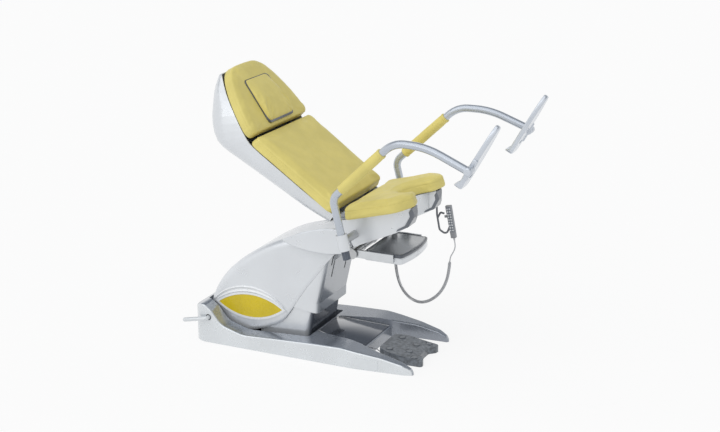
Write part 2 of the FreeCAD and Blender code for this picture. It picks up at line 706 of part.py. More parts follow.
def make_seat():
    pad = prism(seat_plan(), "xy", 0, SEAT_PAD_T)
    pad = softened(pad, 16, "z", [SEAT_PAD_T])
    pad = softened(pad, 6, "z", [0])
    save("seat_pad", placed(pad, SEAT_REAR, -SEAT_TILT))

    board_z = -GAP - BOARD_T
    shape = prism(seat_shell_side(), "xz", -SHELL_HALF - 5, SHELL_HALF + 5)
    plan = prism(seat_shell_plan(), "xy", 550, 900)
    shape = shape.common(plan)
    wall = COVER_WALL
    inner = prism(seat_shell_side(), "xz", -SHELL_HALF - 5, SHELL_HALF + 5, wall)
    inner = inner.common(prism(seat_shell_plan(), "xy", 550, 900, wall))
    mouth = prism(seat_shell_plan(), "xy", 550, 900, wall)
    mouth = mouth.common(placed(block(8, 400, -SHELL_HALF, SHELL_HALF, -40, 60), SEAT_REAR, -SEAT_TILT))
    shell = shape.cut(inner).cut(mouth)
    rear = block(-60, 70, -SEAT_PLATE_Y - SEAT_PLATE_T - 3, SEAT_PLATE_Y + SEAT_PLATE_T + 3, 596, 745)
    shell = shell.cut(rear)
    shell = shell.cut(cross_rod(LEG_BOSS, LEG_BOSS_R, -SHELL_HALF - 9, SHELL_HALF + 9))
    top = placed(block(-40, 400, -SHELL_HALF - 10, SHELL_HALF + 10, board_z, 60), SEAT_REAR, -SEAT_TILT)
    shell = shell.cut(top)
    save("seat_shell", shell)
    made["seat_shell"] = shell

    board = placed(prism(
        [(6, -SHELL_HALF + 12, 20), (272, -SHELL_HALF + 10, 40), (318, -186, 20), (318, -130, 20),
         (250, -118, 30), (196, -112, 60), (196, 112, 60), (250, 118, 30), (318, 130, 20), (318, 186, 20),
         (272, SHELL_HALF - 10, 40), (6, SHELL_HALF - 12, 20)], "xy", board_z, -GAP), SEAT_REAR, -SEAT_TILT)
    y0 = SEAT_PLATE_Y
    y1 = SEAT_PLATE_Y + SEAT_PLATE_T
    low_front = Vec(300, 0, 798)
    plate = joined(bar(ARM_HEAD, Vec(64, 0, 700), 28, y0, y1), bar(Vec(64, 0, 700), low_front, 22, y0, y1))
    plate = plate.cut(cross_rod(ARM_HEAD, SHAFT_R + RUNNING, -250, 250))
    above = placed(block(-60, 500, -300, 300, board_z, 200), SEAT_REAR, -SEAT_TILT)
    plate = plate.cut(above)
    frame = both_sides(plate)
    for spot in (Vec(84, 0, 705), Vec(185, 0, 755)):
        frame.append(cross_rod(spot, SEAT_TUBE_R, -y0, y0))
    frame.append(board)
    frame += both_sides(cross_rod(LEG_BOSS, LEG_BOSS_R, y1, LEG_Y - CLAMP_R + 8).cut(
        rod(clamp_point(-70), clamp_point(60), CLAMP_R)))
    arm = joined(bar(Vec(84, 0, 705), Vec(14, 0, 738), 9, 150, 158),
                 bar(Vec(14, 0, 738), BACK_PIVOT, 9, 150, 158))
    arm = arm.cut(cross_rod(BACK_PIVOT, HINGE_PIN_R, -250, 250))
    frame += both_sides(arm)
    save("seat_frame", joined(*frame))
    save("back_hinge_pin", cross_rod(BACK_PIVOT, HINGE_PIN_R, -176, 176))

    trim_side = prism([(300, 722), (352, 742, 24), (374, 790, 26), (362, 838)], "xz", -300, 300)
    band = prism(seat_shell_plan(), "xy", 550, 900, -2.5).common(trim_side)
    low = prism(seat_shell_side(), "xz", -300, 300, 12)
    grown = prism(seat_shell_side(), "xz", -300, 300, -2.5)
    trim = band.common(grown).cut(shape).cut(low).cut(top)
    trim = trim.common(block(300, 420, -300, 300, 700, 860))
    save("seat_edge_trim", *trim.Solids)


def clamp_axis():
    return Vec(-0.246, 0, 0.969).normalize()


def clamp_point(along):
    """A point on the left leg support's swivel axis, measured up from the tube's foot."""
    spot = LEG_FOOT + clamp_axis() * along
    return Vec(spot.x, LEG_Y, spot.z)


def leg_point(spot):
    return Vec(spot.x, LEG_Y + LEG_SPLAY * (spot.x - LEG_BENDS[0].x), spot.z)


def make_legs():
    low = clamp_point(-CLAMP_DEPTH - 4)
    top = clamp_point(16)
    clamp = rod(low, top, CLAMP_R)
    clamp = clamp.cut(rod(clamp_point(-CLAMP_DEPTH + 2), clamp_point(30), LEG_TUBE_R + RUNNING))
    clamp = clamp.cut(rod(clamp_point(-CLAMP_DEPTH - 10), clamp_point(-CLAMP_DEPTH + 4), 6 + RUNNING))
    save("leg_clamp_left", clamp)
    save("leg_clamp_right", mirrored(clamp))

    stem_top = clamp_point(-CLAMP_DEPTH - 0.5)
    knob_top = clamp_point(-CLAMP_DEPTH - 4 - GAP)
    knob = rod(clamp_point(-CLAMP_DEPTH - 48), knob_top, KNOB_R)
    side = Vec(0.969, 0, 0.246)
    for i in range(12):
        angle = math.radians(30 * i)
        off = side * (KNOB_R * math.cos(angle)) + Y_AXIS * (KNOB_R * math.sin(angle))
        knob = knob.cut(rod(clamp_point(-CLAMP_DEPTH - 52) + off, clamp_point(-CLAMP_DEPTH - 12) + off, 2.4))
    knob = joined(knob, rod(knob_top, stem_top, 6))
    save("clamp_knob_left", knob)
    save("clamp_knob_right", mirrored(knob))

    foot = clamp_point(-CLAMP_DEPTH + 3)
    points = [foot] + [leg_point(bend) for bend in LEG_BENDS] + [leg_point(LEG_END)]
    radii = [0] + list(LEG_RADII) + [0]
    tube = pipe(points, radii, LEG_TUBE_R)
    bore = pipe(points, radii, LEG_TUBE_R - LEG_WALL)
    end = leg_point(LEG_END)
    eye = cross_rod(end, FOOT_HUB_R, end.y - LEG_TUBE_R - HUB_PROUD, end.y + LEG_TUBE_R)
    pin_hole = cross_rod(end, FOOT_PIN_R + RUNNING, end.y - 40, end.y + LEG_TUBE_R - 5)
    tube = joined(tube, eye).cut(bore.cut(eye)).cut(pin_hole)
    save("leg_tube_left", tube)
    save("leg_tube_right", mirrored(tube))

    first = points[1]
    run = (points[2] - first).normalize()
    whole = rod(first + run * 66, first + run * 366, SLEEVE_R)
    sleeve = whole.makeFillet(5, [edge for edge in whole.Edges if edge.Closed])
    sleeve = sleeve.cut(rod(first + run * 50, first + run * 380, LEG_TUBE_R + GAP))
    save("knee_sleeve_left", sleeve)
    save("knee_sleeve_right", mirrored(sleeve))

    near = [(0, -FOOT_PLATE_HALF + 8, 10), (70, -FOOT_PLATE_HALF, SMOOTH), (150, -FOOT_PLATE_HALF - 1, SMOOTH),
            (235, -FOOT_PLATE_HALF + 5, SMOOTH), (300, -FOOT_PLATE_HALF + 16, SMOOTH),
            (FOOT_PLATE_LENGTH - 4, -FOOT_PLATE_HALF + 32, 18)]
    plan = near + mirror_corners(near)
    sole = prism(plan, "xy", 0, FOOT_PLATE_T)
    dish = prism(plan, "xy", 8, FOOT_PLATE_T + 5, 7)
    heel = prism(plan, "xy", 0, HEEL_WALL).common(block(-5, 9, -80, 80, 0, HEEL_WALL))
    plate = joined(sole.cut(dish), heel)
    plate = plate.cut(prism([(60, -16, 13), (86, -16, 12), (86, 16, 12), (60, 16, 13)], "xy", -5, 30))
    plate = shifted(placed(plate, HEEL, -FOOT_TILT), y=PLATE_Y)
    face = end.y - LEG_TUBE_R - HUB_PROUD - GAP
    boss = cross_rod(end, FOOT_HUB_R, PLATE_Y + FOOT_PLATE_HALF - 3, face)
    root = placed(block(60, 175, 0, 16, -6, 30), HEEL, -FOOT_TILT)
    root = shifted(root, y=PLATE_Y + FOOT_PLATE_HALF - 8)
    pin = cross_rod(end, FOOT_PIN_R, PLATE_Y + FOOT_PLATE_HALF - 3, end.y + LEG_TUBE_R - 8)
    plate = joined(plate, root, boss, pin)
    save("foot_plate_left", plate)
    save("foot_plate_right", mirrored(plate))


BACK_ROWS = [
    # share of the pad's length, way to the rear point (x, z), half width
    (0.0, -37, -46, 262),
    (0.235, -68, -56, 280),
    (0.6, -94, -71, 287),
    (0.96, -128, -83, 290),
]
HEAD_ROWS = [
    (0.0475, -197, -53, 288),
    (0.354, -172, -22, 262),
    (0.682, -95, -2, 218),
    (0.967, -18, -10, 152),
]
SHELL_DROP = 2.7
STATION_STEPS = 3


def back_section(station, inset, ahead):
    """A rounded U across the back, open to the front; ahead pushes its front line forwards."""
    (ax, az), (bx, bz), half = station
    front = Vec(ax, 0, az)
    rear = Vec(bx, 0, bz)
    run = (rear - front).normalize()
    depth = (rear - front).Length
    start = front - run * ahead
    end = rear - run * inset
    width = half - inset
    radius = min(100.0, 0.7 * depth, 0.45 * half) - inset * 0.5
    corners = [start - Y_AXIS * width, end - Y_AXIS * width, end + Y_AXIS * width, start + Y_AXIS * width]
    return rounded_path(corners, [0, radius, radius, 0], True)


def between(first, last, share):
    """The station at the given share of the way from one station to the next."""
    (ax, az), (bx, bz), half = first
    (cx, cz), (dx, dz), end_half = last
    keep = 1 - share
    return ((ax * keep + cx * share, az * keep + cz * share), (bx * keep + dx * share, bz * keep + dz * share),
            half * keep + end_half * share)


def eased(numbers, share):
    """The smooth curve through four numbers, at a share of the way from the second to the third."""
    a, b, c, d = numbers
    return b + 0.5 * share * (c - a + share * (2 * a - 5 * b + 4 * c - d + share * (3 * (b - c) + d - a)))


def under_pad(foot, tilt, along, drop):
    """A point along a pad from its foot, and below its underside."""
    angle = math.radians(tilt)
    return foot + Vec(-math.cos(angle), 0, math.sin(angle)) * along - Vec(math.sin(angle), 0, math.cos(angle)) * drop


def back_stations():
    """The shell's stations behind the pads, with smooth ones put between them."""
    flat = []
    for rows, foot, tilt, length in ((BACK_ROWS, BACK_FOOT, BACK_TILT, BACK_LENGTH),
                                     (HEAD_ROWS, HEAD_FOOT, HEAD_TILT, HEAD_LENGTH)):
        for share, rear_x, rear_z, half in rows:
            front = under_pad(foot, tilt, share * length, SHELL_DROP)
            flat.append((front.x, front.z, front.x + rear_x, front.z + rear_z, half))
    ends = [flat[0]] + flat + [flat[-1]]
    stations = []
    for i in range(len(flat) - 1):
        for step in range(STATION_STEPS):
            row = [eased([ends[i + k][n] for k in range(4)], step / STATION_STEPS) for n in range(5)]
            stations.append(((row[0], row[1]), (row[2], row[3]), row[4]))
    last = flat[-1]
    return stations + [((last[0], last[1]), (last[2], last[3]), last[4])]


def back_hollow(inset):
    """The space behind the pads, up to inset from the shell's outside."""
    stations = back_stations()
    top = between(stations[-2], stations[-1], 0.8)
    return Part.makeLoft([back_section(station, inset, 6) for station in stations[:-1] + [top]], True, True)


def make_back():
    """The back shell: a trough behind the pads, closed at its top."""
    outer = Part.makeLoft([back_section(station, 0, 0) for station in back_stations()], True, True)
    cavity = back_hollow(BACK_WALL)
    hinge_room = block(-60, 60, -176, 176, 700, 900)
    lower_end = placed(block(-24, 10, -BACK_HALF, BACK_HALF, -80, 20), BACK_FOOT, BACK_TILT)
    save("back_shell", outer.cut(cavity).cut(lower_end.common(hinge_room)))


def make_pads():
    pad = prism([(-BACK_LENGTH, -BACK_HALF - 2, 34), (-8, -BACK_HALF + 6, 34), (-8, BACK_HALF - 6, 34),
                 (-BACK_LENGTH, BACK_HALF + 2, 34)], "xy", 0, PAD_T)
    pad = softened(pad, 14, "z", [PAD_T])
    pad = softened(pad, 5, "z", [0])
    save("back_pad", placed(pad, BACK_FOOT, BACK_TILT))

    half = BACK_HALF + 3
    plan = [(-HEAD_LENGTH, 0, SMOOTH), (-HEAD_LENGTH + 4, -HEAD_TOP_HALF + 62, SMOOTH),
            (-HEAD_LENGTH + 34, -HEAD_TOP_HALF + 4, SMOOTH), (-270, -213, SMOOTH), (-190, -252, SMOOTH),
            (-100, -281, SMOOTH), (0, -half, 34)]
    pad = prism(plan + mirror_corners(plan[1:]), "xy", 0, PAD_T)
    pad = softened(pad, 14, "z", [PAD_T])
    pad = softened(pad, 5, "z", [0])
    save("head_pad", placed(pad, HEAD_FOOT, HEAD_TILT))

    side = [(-PILLOW_LENGTH, 0), (0, 0), (0, 22, 16), (-70, PILLOW_T, 30), (-150, PILLOW_T - 12, 100),
            (-PILLOW_LENGTH, 6)]
    pillow = prism(side, "xz", -PILLOW_HALF, PILLOW_HALF)
    plan = [(-PILLOW_LENGTH, -PILLOW_HALF + 14, 20), (0, -PILLOW_HALF, 26), (0, PILLOW_HALF, 26),
            (-PILLOW_LENGTH, PILLOW_HALF - 14, 20)]
    pillow = pillow.common(prism(plan, "xy", 0, PILLOW_T + 5))
    save("head_pillow", placed(shifted(pillow, x=-22, z=PAD_T + GAP), HEAD_FOOT, HEAD_TILT))


def make_back_frame():
    low = -GAP - BOARD_T
    back_board = prism([(-BACK_LENGTH + 12, -262, 20), (-24, -250, 20), (-24, 250, 20), (-BACK_LENGTH + 12, 262, 20)],
                       "xy", low, -GAP)
    head_board = prism([(-HEAD_LENGTH + 22, -150, 20), (-40, -250, 20), (-6, -262, 10), (-6, 262, 10), (-40, 250, 20),
                        (-HEAD_LENGTH + 22, 150, 20)], "xy", low, -GAP)
    back_board = placed(back_board, BACK_FOOT, BACK_TILT)
    head_board = placed(head_board, HEAD_FOOT, HEAD_TILT)
    drop = 12 - low
    first = under_pad(BACK_FOOT, BACK_TILT, 16, drop)
    last = under_pad(BACK_FOOT, BACK_TILT, BACK_LENGTH - 20, drop)
    head_low = under_pad(HEAD_FOOT, HEAD_TILT, 20, drop)
    head_top = under_pad(HEAD_FOOT, HEAD_TILT, HEAD_LENGTH - 80, drop)
    y0 = 160
    y1 = 168
    rail = joined(bar(BACK_PIVOT, first, 9, y0, y1), bar(first, last, 12, y0, y1), bar(last, head_low, 12, y0, y1),
                  bar(head_low, head_top, 12, y0, y1))
    for foot, tilt, length in ((BACK_FOOT, BACK_TILT, BACK_LENGTH), (HEAD_FOOT, HEAD_TILT, HEAD_LENGTH)):
        rail = rail.cut(placed(block(-length, -8 + GAP, -300, 300, low, PAD_T), foot, tilt))
    rail = rail.cut(cross_rod(BACK_PIVOT, HINGE_PIN_R + RUNNING, -250, 250))
    frame = both_sides(rail) + [back_board, head_board]
    frame.append(cross_rod(under_pad(BACK_FOOT, BACK_TILT, 120, drop), 9, -y0, y0))
    hollow = back_hollow(BACK_WALL + GAP)
    for carrier in (under_pad(BACK_FOOT, BACK_TILT, 0.6 * BACK_LENGTH, drop),
                    under_pad(HEAD_FOOT, HEAD_TILT, 0.5 * HEAD_LENGTH, drop)):
        frame.append(cross_rod(carrier, 9, -BACK_HALF, BACK_HALF).common(hollow))
    save("back_frame", joined(*frame))



BRACKET_T = 10.0
KEYPAD_T = 1.2
COIL_ROUTE = [
    (407, 455), (403, 402), (392, 348), (370, 296), (336, 252), (292, 219), (244, 205), (196, 218),
    (158, 250), (131, 296), (116, 350), (109, 406), (105, 462), (103, 511), (102, 560),
]
STRAIGHT_ROUTE = [(430.2, 561.7), (433.5, 545.4), (433, 527), (427, 509), (417, 491), (408.4, 473.5), (407, 455)]
SOCKET_R = 15.0
BOOT_LENGTH = 18.0


def smooth_radii(points):
    """The largest corner radii that the runs allow."""
    radii = [0.0]
    for i in range(1, len(points) - 1):
        before = points[i - 1] - points[i]
        after = points[i + 1] - points[i]
        turn = math.pi - before.getAngle(after)
        radii.append(0.45 * min(before.Length, after.Length) / math.tan(turn / 2))
    radii.append(0.0)
    print("cord radii", [round(radius) for radius in radii])
    return radii


def route_points(route):
    return [Vec(x, HANDSET_Y, z) for x, z in route]


def make_handset():
    plan = [(-HANDSET_LENGTH, -HANDSET_WIDTH / 2, 7), (0, -HANDSET_WIDTH / 2, 7), (0, HANDSET_WIDTH / 2, 7),
            (-HANDSET_LENGTH, HANDSET_WIDTH / 2, 7)]
    body = prism([(corner[1], corner[0], corner[2]) for corner in plan], "xz",
                 HANDSET_Y - HANDSET_T / 2, HANDSET_Y + HANDSET_T / 2)
    body = softened(body, 2.5, "y", [HANDSET_Y - HANDSET_T / 2, HANDSET_Y + HANDSET_T / 2])
    pad_plan = [(-HANDSET_WIDTH / 2 + 4, -HANDSET_LENGTH + 34, 4), (HANDSET_WIDTH / 2 - 4, -HANDSET_LENGTH + 34, 4),
                (HANDSET_WIDTH / 2 - 4, -10, 4), (-HANDSET_WIDTH / 2 + 4, -10, 4)]
    face_y = HANDSET_Y - HANDSET_T / 2
    keypad = prism(pad_plan, "xz", face_y - KEYPAD_T, face_y)
    top_lug = block(-HANDSET_WIDTH / 2 - 14, -HANDSET_WIDTH / 2 + 1, HANDSET_Y - 5, HANDSET_Y + 5, -62, -50)
    body = joined(body, top_lug)
    tilt = -HANDSET_TILT
    save("handset_body", placed(body, HANDSET_TOP, tilt))
    save("handset_keypad", placed(keypad, HANDSET_TOP, tilt))

    start = Vec(331, HANDSET_Y, 734)
    route = [start, Vec(333, HANDSET_Y, 690), Vec(348, HANDSET_Y, 612), Vec(386, HANDSET_Y, 592),
             Vec(404, HANDSET_Y, 640)]
    hook = pipe(route, [0, 60, 22, 18, 0], BRACKET_T / 2)
    arm = pipe([Vec(336, HANDSET_Y, 672), Vec(352, HANDSET_Y, 704), Vec(372, HANDSET_Y, 700)], [0, 8, 0],
               BRACKET_T / 2)
    bracket = joined(hook, arm).cut(placed(body, HANDSET_TOP, tilt)).cut(made["seat_shell"])
    save("handset_bracket", bracket)

    boot = Part.makeCone(CORD_R + 2.4, CORD_R, BOOT_LENGTH, Vec(0, HANDSET_Y, -HANDSET_LENGTH), Vec(0, 0, -1))
    save("cord_boot", placed(boot, HANDSET_TOP, tilt))
    end = Vec(COIL_ROUTE[-1][0], HANDSET_Y, COIL_ROUTE[-1][1])
    socket = joined(Part.makeCone(COIL_R + 1.5, SOCKET_R, 24, end), Part.makeCylinder(SOCKET_R, 60, end + Vec(0, 0, 24)))
    room = prism(seat_shell_side(), "xz", -SHELL_HALF - 5, SHELL_HALF + 5)
    save("cord_socket", socket.cut(room))


def make_cords():
    points = route_points(COIL_ROUTE)
    save("coiled_cord", pipe(points, smooth_radii(points), COIL_R))
    points = route_points(STRAIGHT_ROUTE)
    save("straight_cord", pipe(points, smooth_radii(points), CORD_R))


def pedal_plan():
    near = [
        (PEDAL_REAR, -PEDAL_HALF + 26, 20),
        (PEDAL_REAR + 60, -PEDAL_HALF - 2, 60),
        (PEDAL_FRONT - 60, -PEDAL_HALF + 4, 60),
        (PEDAL_FRONT, -PEDAL_HALF + 6, 16),
        (PEDAL_FRONT - 6, -PEDAL_HALF + 40, 14),
        (PEDAL_FRONT - 36, -PEDAL_HALF + 70, 30),
    ]
    return [(corner[0], corner[1] + PEDAL_Y) + tuple(corner[2:]) for corner in near + mirror_corners(near)]


BUTTON_SPOTS = [(207, -80), (207, 80), (300, -46), (300, 46), (348, -98), (348, 98)]


def pedal_top(x):
    """The foot control's top height, which falls towards its front."""
    return PEDAL_TOP + 10 - 30 * (x - PEDAL_REAR) / (PEDAL_FRONT - PEDAL_REAR)


def make_foot_control():
    side = [(PEDAL_REAR - 5, 0), (PEDAL_REAR - 5, pedal_top(PEDAL_REAR)), (PEDAL_FRONT + 5, pedal_top(PEDAL_FRONT)),
            (PEDAL_FRONT + 5, 0)]
    form = prism(pedal_plan(), "xy", 0, 100).common(prism(side, "xz", -200, 200))
    lower = [(PEDAL_REAR - 5, PEDAL_WALL), (PEDAL_REAR - 5, pedal_top(PEDAL_REAR) - PEDAL_WALL),
             (PEDAL_FRONT + 5, pedal_top(PEDAL_FRONT) - PEDAL_WALL), (PEDAL_FRONT + 5, PEDAL_WALL)]
    cavity = prism(pedal_plan(), "xy", 0, 100, PEDAL_WALL).common(prism(lower, "xz", -200, 200))
    shell = form.cut(cavity)
    buttons = []
    for x, y in BUTTON_SPOTS:
        spot = Vec(x, y + PEDAL_Y, 0)
        height = pedal_top(x)
        shell = shell.cut(Part.makeCylinder(BUTTON_R + GAP, 60, spot + Vec(0, 0, height - 12)))
        post = Part.makeCylinder(5, height - 14 - BUTTON_TRAVEL - PEDAL_WALL, spot + Vec(0, 0, PEDAL_WALL))
        shell = joined(shell, post)
        cap = Part.makeCylinder(BUTTON_R, 13, spot + Vec(0, 0, height - 10.5))
        cap = cap.makeFillet(2.5, rim_edges(cap, "z", [height + 2.5]))
        stem = Part.makeCylinder(5, 3.0, spot + Vec(0, 0, height - 13.5))
        buttons.append(joined(cap, stem))
    save("foot_control_housing", shell)
    for number, cap in enumerate(buttons):
        save("foot_button_" + str(number + 1), cap)

    y = PEDAL_Y - 45
    points = [Vec(RAMP_FRONT - 12, y, 26), Vec(RAMP_FRONT + 22, y, 26), Vec(RAMP_FRONT + 40, y - 14, 22),
              Vec(PEDAL_REAR + 3, y - 22, 22)]
    cable = pipe(points, smooth_radii(points), CORD_R)
    save("foot_cable", cable.cut(form))

make_base()
make_arm()
make_carriage()
make_tray()
make_seat()
make_legs()
make_back()
make_pads()
make_back_frame()
make_handset()
make_cords()
make_foot_control()
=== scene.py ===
"""Dresses the packed examination chair.

Covers and tread, cords, upholstery, leg supports, tray, handset and foot control. Metres, in the frame of the packed
model: +X towards the foot end, +Y to the sitter's left, +Z up.
"""

import math

import bpy
from mathutils import Matrix, Vector


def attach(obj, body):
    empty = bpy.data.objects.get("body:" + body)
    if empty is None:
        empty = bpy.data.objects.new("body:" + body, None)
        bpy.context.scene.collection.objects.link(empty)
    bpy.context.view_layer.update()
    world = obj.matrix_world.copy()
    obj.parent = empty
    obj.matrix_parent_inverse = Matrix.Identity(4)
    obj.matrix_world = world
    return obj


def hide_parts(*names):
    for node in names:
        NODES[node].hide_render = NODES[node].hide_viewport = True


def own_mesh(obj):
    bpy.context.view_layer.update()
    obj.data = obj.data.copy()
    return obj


bl_info = {
    "name": "Examination chair",
    "version": (1, 0, 0),
    "blender": (4, 5, 0),
    "location": "3D View > Sidebar > Chair",
    "description": "Dresses an examination chair on its packed frame",
    "category": "Object",
}

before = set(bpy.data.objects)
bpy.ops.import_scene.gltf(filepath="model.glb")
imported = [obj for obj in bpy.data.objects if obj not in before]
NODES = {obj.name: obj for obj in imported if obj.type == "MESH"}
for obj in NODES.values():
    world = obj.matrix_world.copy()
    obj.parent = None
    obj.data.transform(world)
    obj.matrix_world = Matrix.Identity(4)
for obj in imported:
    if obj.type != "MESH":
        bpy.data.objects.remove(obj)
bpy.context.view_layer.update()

LEFT, RIGHT = 1, -1
SIDES = ((LEFT, "left"), (RIGHT, "right"))


# Handling of pieces

def only(piece):
    """Deselects everything, then selects and activates the piece."""
    if bpy.context.object is not None and bpy.context.object.mode != "OBJECT":
        bpy.ops.object.mode_set(mode="OBJECT")
    bpy.ops.object.select_all(action="DESELECT")
    piece.select_set(True)
    bpy.context.view_layer.objects.active = piece
    return piece


def added(name):
    """The primitive that was just added, named, and alone in the selection."""
    piece = bpy.context.active_object
    piece.name = name
    piece.data.name = name
    return only(piece)


def modified(piece, kind, **settings):
    """Adds a modifier with these settings and applies it."""
    only(piece)
    modifier = piece.modifiers.new(kind.title(), kind)
    for setting, value in settings.items():
        setattr(modifier, setting, value)
    bpy.ops.object.modifier_apply(modifier=modifier.name)
    return piece


def rounded_off(piece, levels):
    return modified(piece, "SUBSURF", levels=levels, render_levels=levels)


def settled(piece):
    """Puts the piece's place, turn and scale into its mesh."""
    only(piece)
    bpy.ops.object.transform_apply(location=True, rotation=True, scale=True)
    return piece


def facing_out(piece, smooth=40.0):
    """Merges doubles, turns the faces outwards and shades smooth up to the angle."""
    only(piece)
    bpy.ops.object.mode_set(mode="EDIT")
    bpy.ops.mesh.select_all(action="SELECT")
    bpy.ops.mesh.remove_doubles(threshold=0.00002)
    bpy.ops.mesh.normals_make_consistent(inside=False)
    bpy.ops.object.mode_set(mode="OBJECT")
    bpy.ops.object.shade_smooth_by_angle(angle=math.radians(smooth))
    return piece


def copied(piece, name):
    copy = piece.copy()
    copy.data = piece.data.copy()
    copy.name = name
    copy.data.name = name
    bpy.context.scene.collection.objects.link(copy)
    copy.hide_render = False
    copy.hide_viewport = False
    for key in list(copy.keys()):
        del copy[key]
    copy.parent = None
    copy.matrix_world = Matrix.Identity(4)
    return only(copy)


def across(piece, name):
    """A copy on the other side of the chair."""
    copy = copied(piece, name)
    copy.data.transform(Matrix.Diagonal((1, -1, 1, 1)))
    copy.data.flip_normals()
    return copy


def as_one(pieces, name):
    """Joins the pieces to one."""
    only(pieces[0])
    for piece in pieces[1:]:
        piece.select_set(True)
    bpy.ops.object.join()
    return added(name)


def skinned(name, loops, caps=True):
    """A skin from the first loop to the last, vertex to vertex, with the end loops filled."""
    count = len(loops[0])
    faces = []
    for first in range(0, count * (len(loops) - 1), count):
        faces += [(first + i, first + (i + 1) % count, first + count + (i + 1) % count, first + count + i)
                  for i in range(count)]
    if caps:
        faces += [tuple(range(count)), tuple(range(count * (len(loops) - 1), count * len(loops)))]
    mesh = bpy.data.meshes.new(name)
    mesh.from_pydata([tuple(place) for loop in loops for place in loop], [], faces)
    piece = bpy.data.objects.new(name, mesh)
    bpy.context.scene.collection.objects.link(piece)
    return only(piece)


def leaf(stations, steps):
    """An even outline through (place along, half width) stations, from the near end round to it again."""
    across_at = []
    ends = [stations[0]] + list(stations) + [stations[-1]]
    for i in range(len(stations) - 1):
        for step in range(steps):
            t = step / steps
            across_at.append(tuple(
                ends[i + 1][n] + 0.5 * t * (ends[i + 2][n] - ends[i][n] + t * (
                    2 * ends[i][n] - 5 * ends[i + 1][n] + 4 * ends[i + 2][n] - ends[i + 3][n] + t * (
                        3 * (ends[i + 1][n] - ends[i + 2][n]) + ends[i + 3][n] - ends[i][n]))) for n in (0, 1)))
    across_at.append(stations[-1])
    return [(x, w) for x, w in across_at] + [(x, -w) for x, w in reversed(across_at)]


def rounded_box(x0, x1, half, radius, bulge=0.0, steps=6, inset=0.0):
    """A rectangle's outline with round corners and a bulged front edge, drawn in by inset."""
    x0, x1, half = x0 + inset, x1 - inset, half - inset
    radius = max(0.001, radius - 0.5 * inset)
    found = []
    for cx, cy, start in ((x1 - radius, half - radius, 0), (x0 + radius, half - radius, 90),
                          (x0 + radius, -half + radius, 180), (x1 - radius, -half + radius, 270)):
        for step in range(steps + 1):
            angle = math.radians(start + 90 * step / steps)
            found.append((cx + radius * math.cos(angle), cy + radius * math.sin(angle)))
    for step in range(1, 2 * steps):
        t = -1 + step / steps
        found.append((x1, t * (half - radius)))
    return [(x + (bulge * (1 - (y / half) ** 2) if x > (x0 + x1) / 2 else 0.0), y) for x, y in found]


def turned(piece, place):
    """Moves the piece's mesh by the matrix."""
    piece.data.transform(place)
    piece.data.update()
    return piece


def tilted(foot, degrees):
    """The place of a part that stands at foot, tilted about the chair's cross axis."""
    return Matrix.Translation(foot) @ Matrix.Rotation(math.radians(degrees), 4, "Y")


def round_bar(name, start, end, radius, bevel=0.002, vertices=40):
    """A cylinder from start to end with softened ends."""
    start, end = Vector(start), Vector(end)
    bpy.ops.mesh.primitive_cylinder_add(vertices=vertices, radius=radius, depth=(end - start).length,
                                        location=(start + end) / 2,
                                        rotation=(end - start).to_track_quat("Z", "Y").to_euler())
    piece = settled(added(name))
    modified(piece, "BEVEL", width=bevel, segments=3, limit_method="ANGLE", angle_limit=math.radians(50))
    return facing_out(piece)


def block(name, x, y, z, bevel, segments=3):
    """A box with softened edges between the given pairs."""
    bpy.ops.mesh.primitive_cube_add(size=1, location=((x[0] + x[1]) / 2, (y[0] + y[1]) / 2, (z[0] + z[1]) / 2))
    piece = added(name)
    piece.scale = (x[1] - x[0], y[1] - y[0], z[1] - z[0])
    settled(piece)
    modified(piece, "BEVEL", width=bevel, segments=segments, limit_method="NONE")
    return facing_out(piece)


def revolved(name, start, end, profile, around=48):
    """A form turned about the line from start to end; the profile gives (way along, radius)."""
    start, end = Vector(start), Vector(end)
    run = (end - start).normalized()
    side = run.cross(Vector((1, 0, 0) if abs(run.y) > 0.9 else (0, 1, 0))).normalized()
    up = run.cross(side)
    loops = []
    for along, radius in profile:
        centre = start + run * along
        loops.append([centre + (side * math.cos(2 * math.pi * i / around) + up * math.sin(2 * math.pi * i / around))
                      * radius for i in range(around)])
    return facing_out(skinned(name, loops))


def handed_over(piece, body, material, slot, *nodes):
    """Gives a finished piece its body and material, and hides the nodes that it stands for; the slot is not used."""
    piece.data.materials.clear()
    piece.data.materials.append(material)
    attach(piece, body)
    if nodes:
        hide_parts(*nodes)
    return piece


def dressed(material, *nodes):
    """Gives the packed nodes the material."""
    for name in nodes:
        node = NODES[name]
        node.data.materials.clear()
        node.data.materials.append(material)


# Materials

def started(name, colour, roughness, **own):
    """A material whose shader has these values on its own sockets."""
    material = bpy.data.materials.new(name)
    material.use_nodes = True
    shader = material.node_tree.nodes["Principled BSDF"]
    shader.inputs["Base Color"].default_value = (*colour, 1)
    shader.inputs["Roughness"].default_value = roughness
    for socket, value in own.items():
        shader.inputs[socket.replace("_", " ")].default_value = value
    return material, shader


def node(material, kind, **values):
    """Adds a node and sets its inputs or properties by name."""
    made = material.node_tree.nodes.new("ShaderNode" + kind)
    for name, value in values.items():
        if hasattr(made, name):
            setattr(made, name, value)
        else:
            made.inputs[name.replace("_", " ")].default_value = value
    return made


def place_of(material):
    return node(material, "TexCoord").outputs["Object"]


def linked(material, source, target):
    material.node_tree.links.new(source, target)


def spread(material, factor, low, high, start=0.3, end=0.7):
    """Maps a 0 to 1 factor from low to high."""
    ranged = node(material, "MapRange")
    linked(material, factor, ranged.inputs["Value"])
    for socket, value in (("From Min", start), ("From Max", end), ("To Min", low), ("To Max", high)):
        ranged.inputs[socket].default_value = value
    return ranged.outputs["Result"]


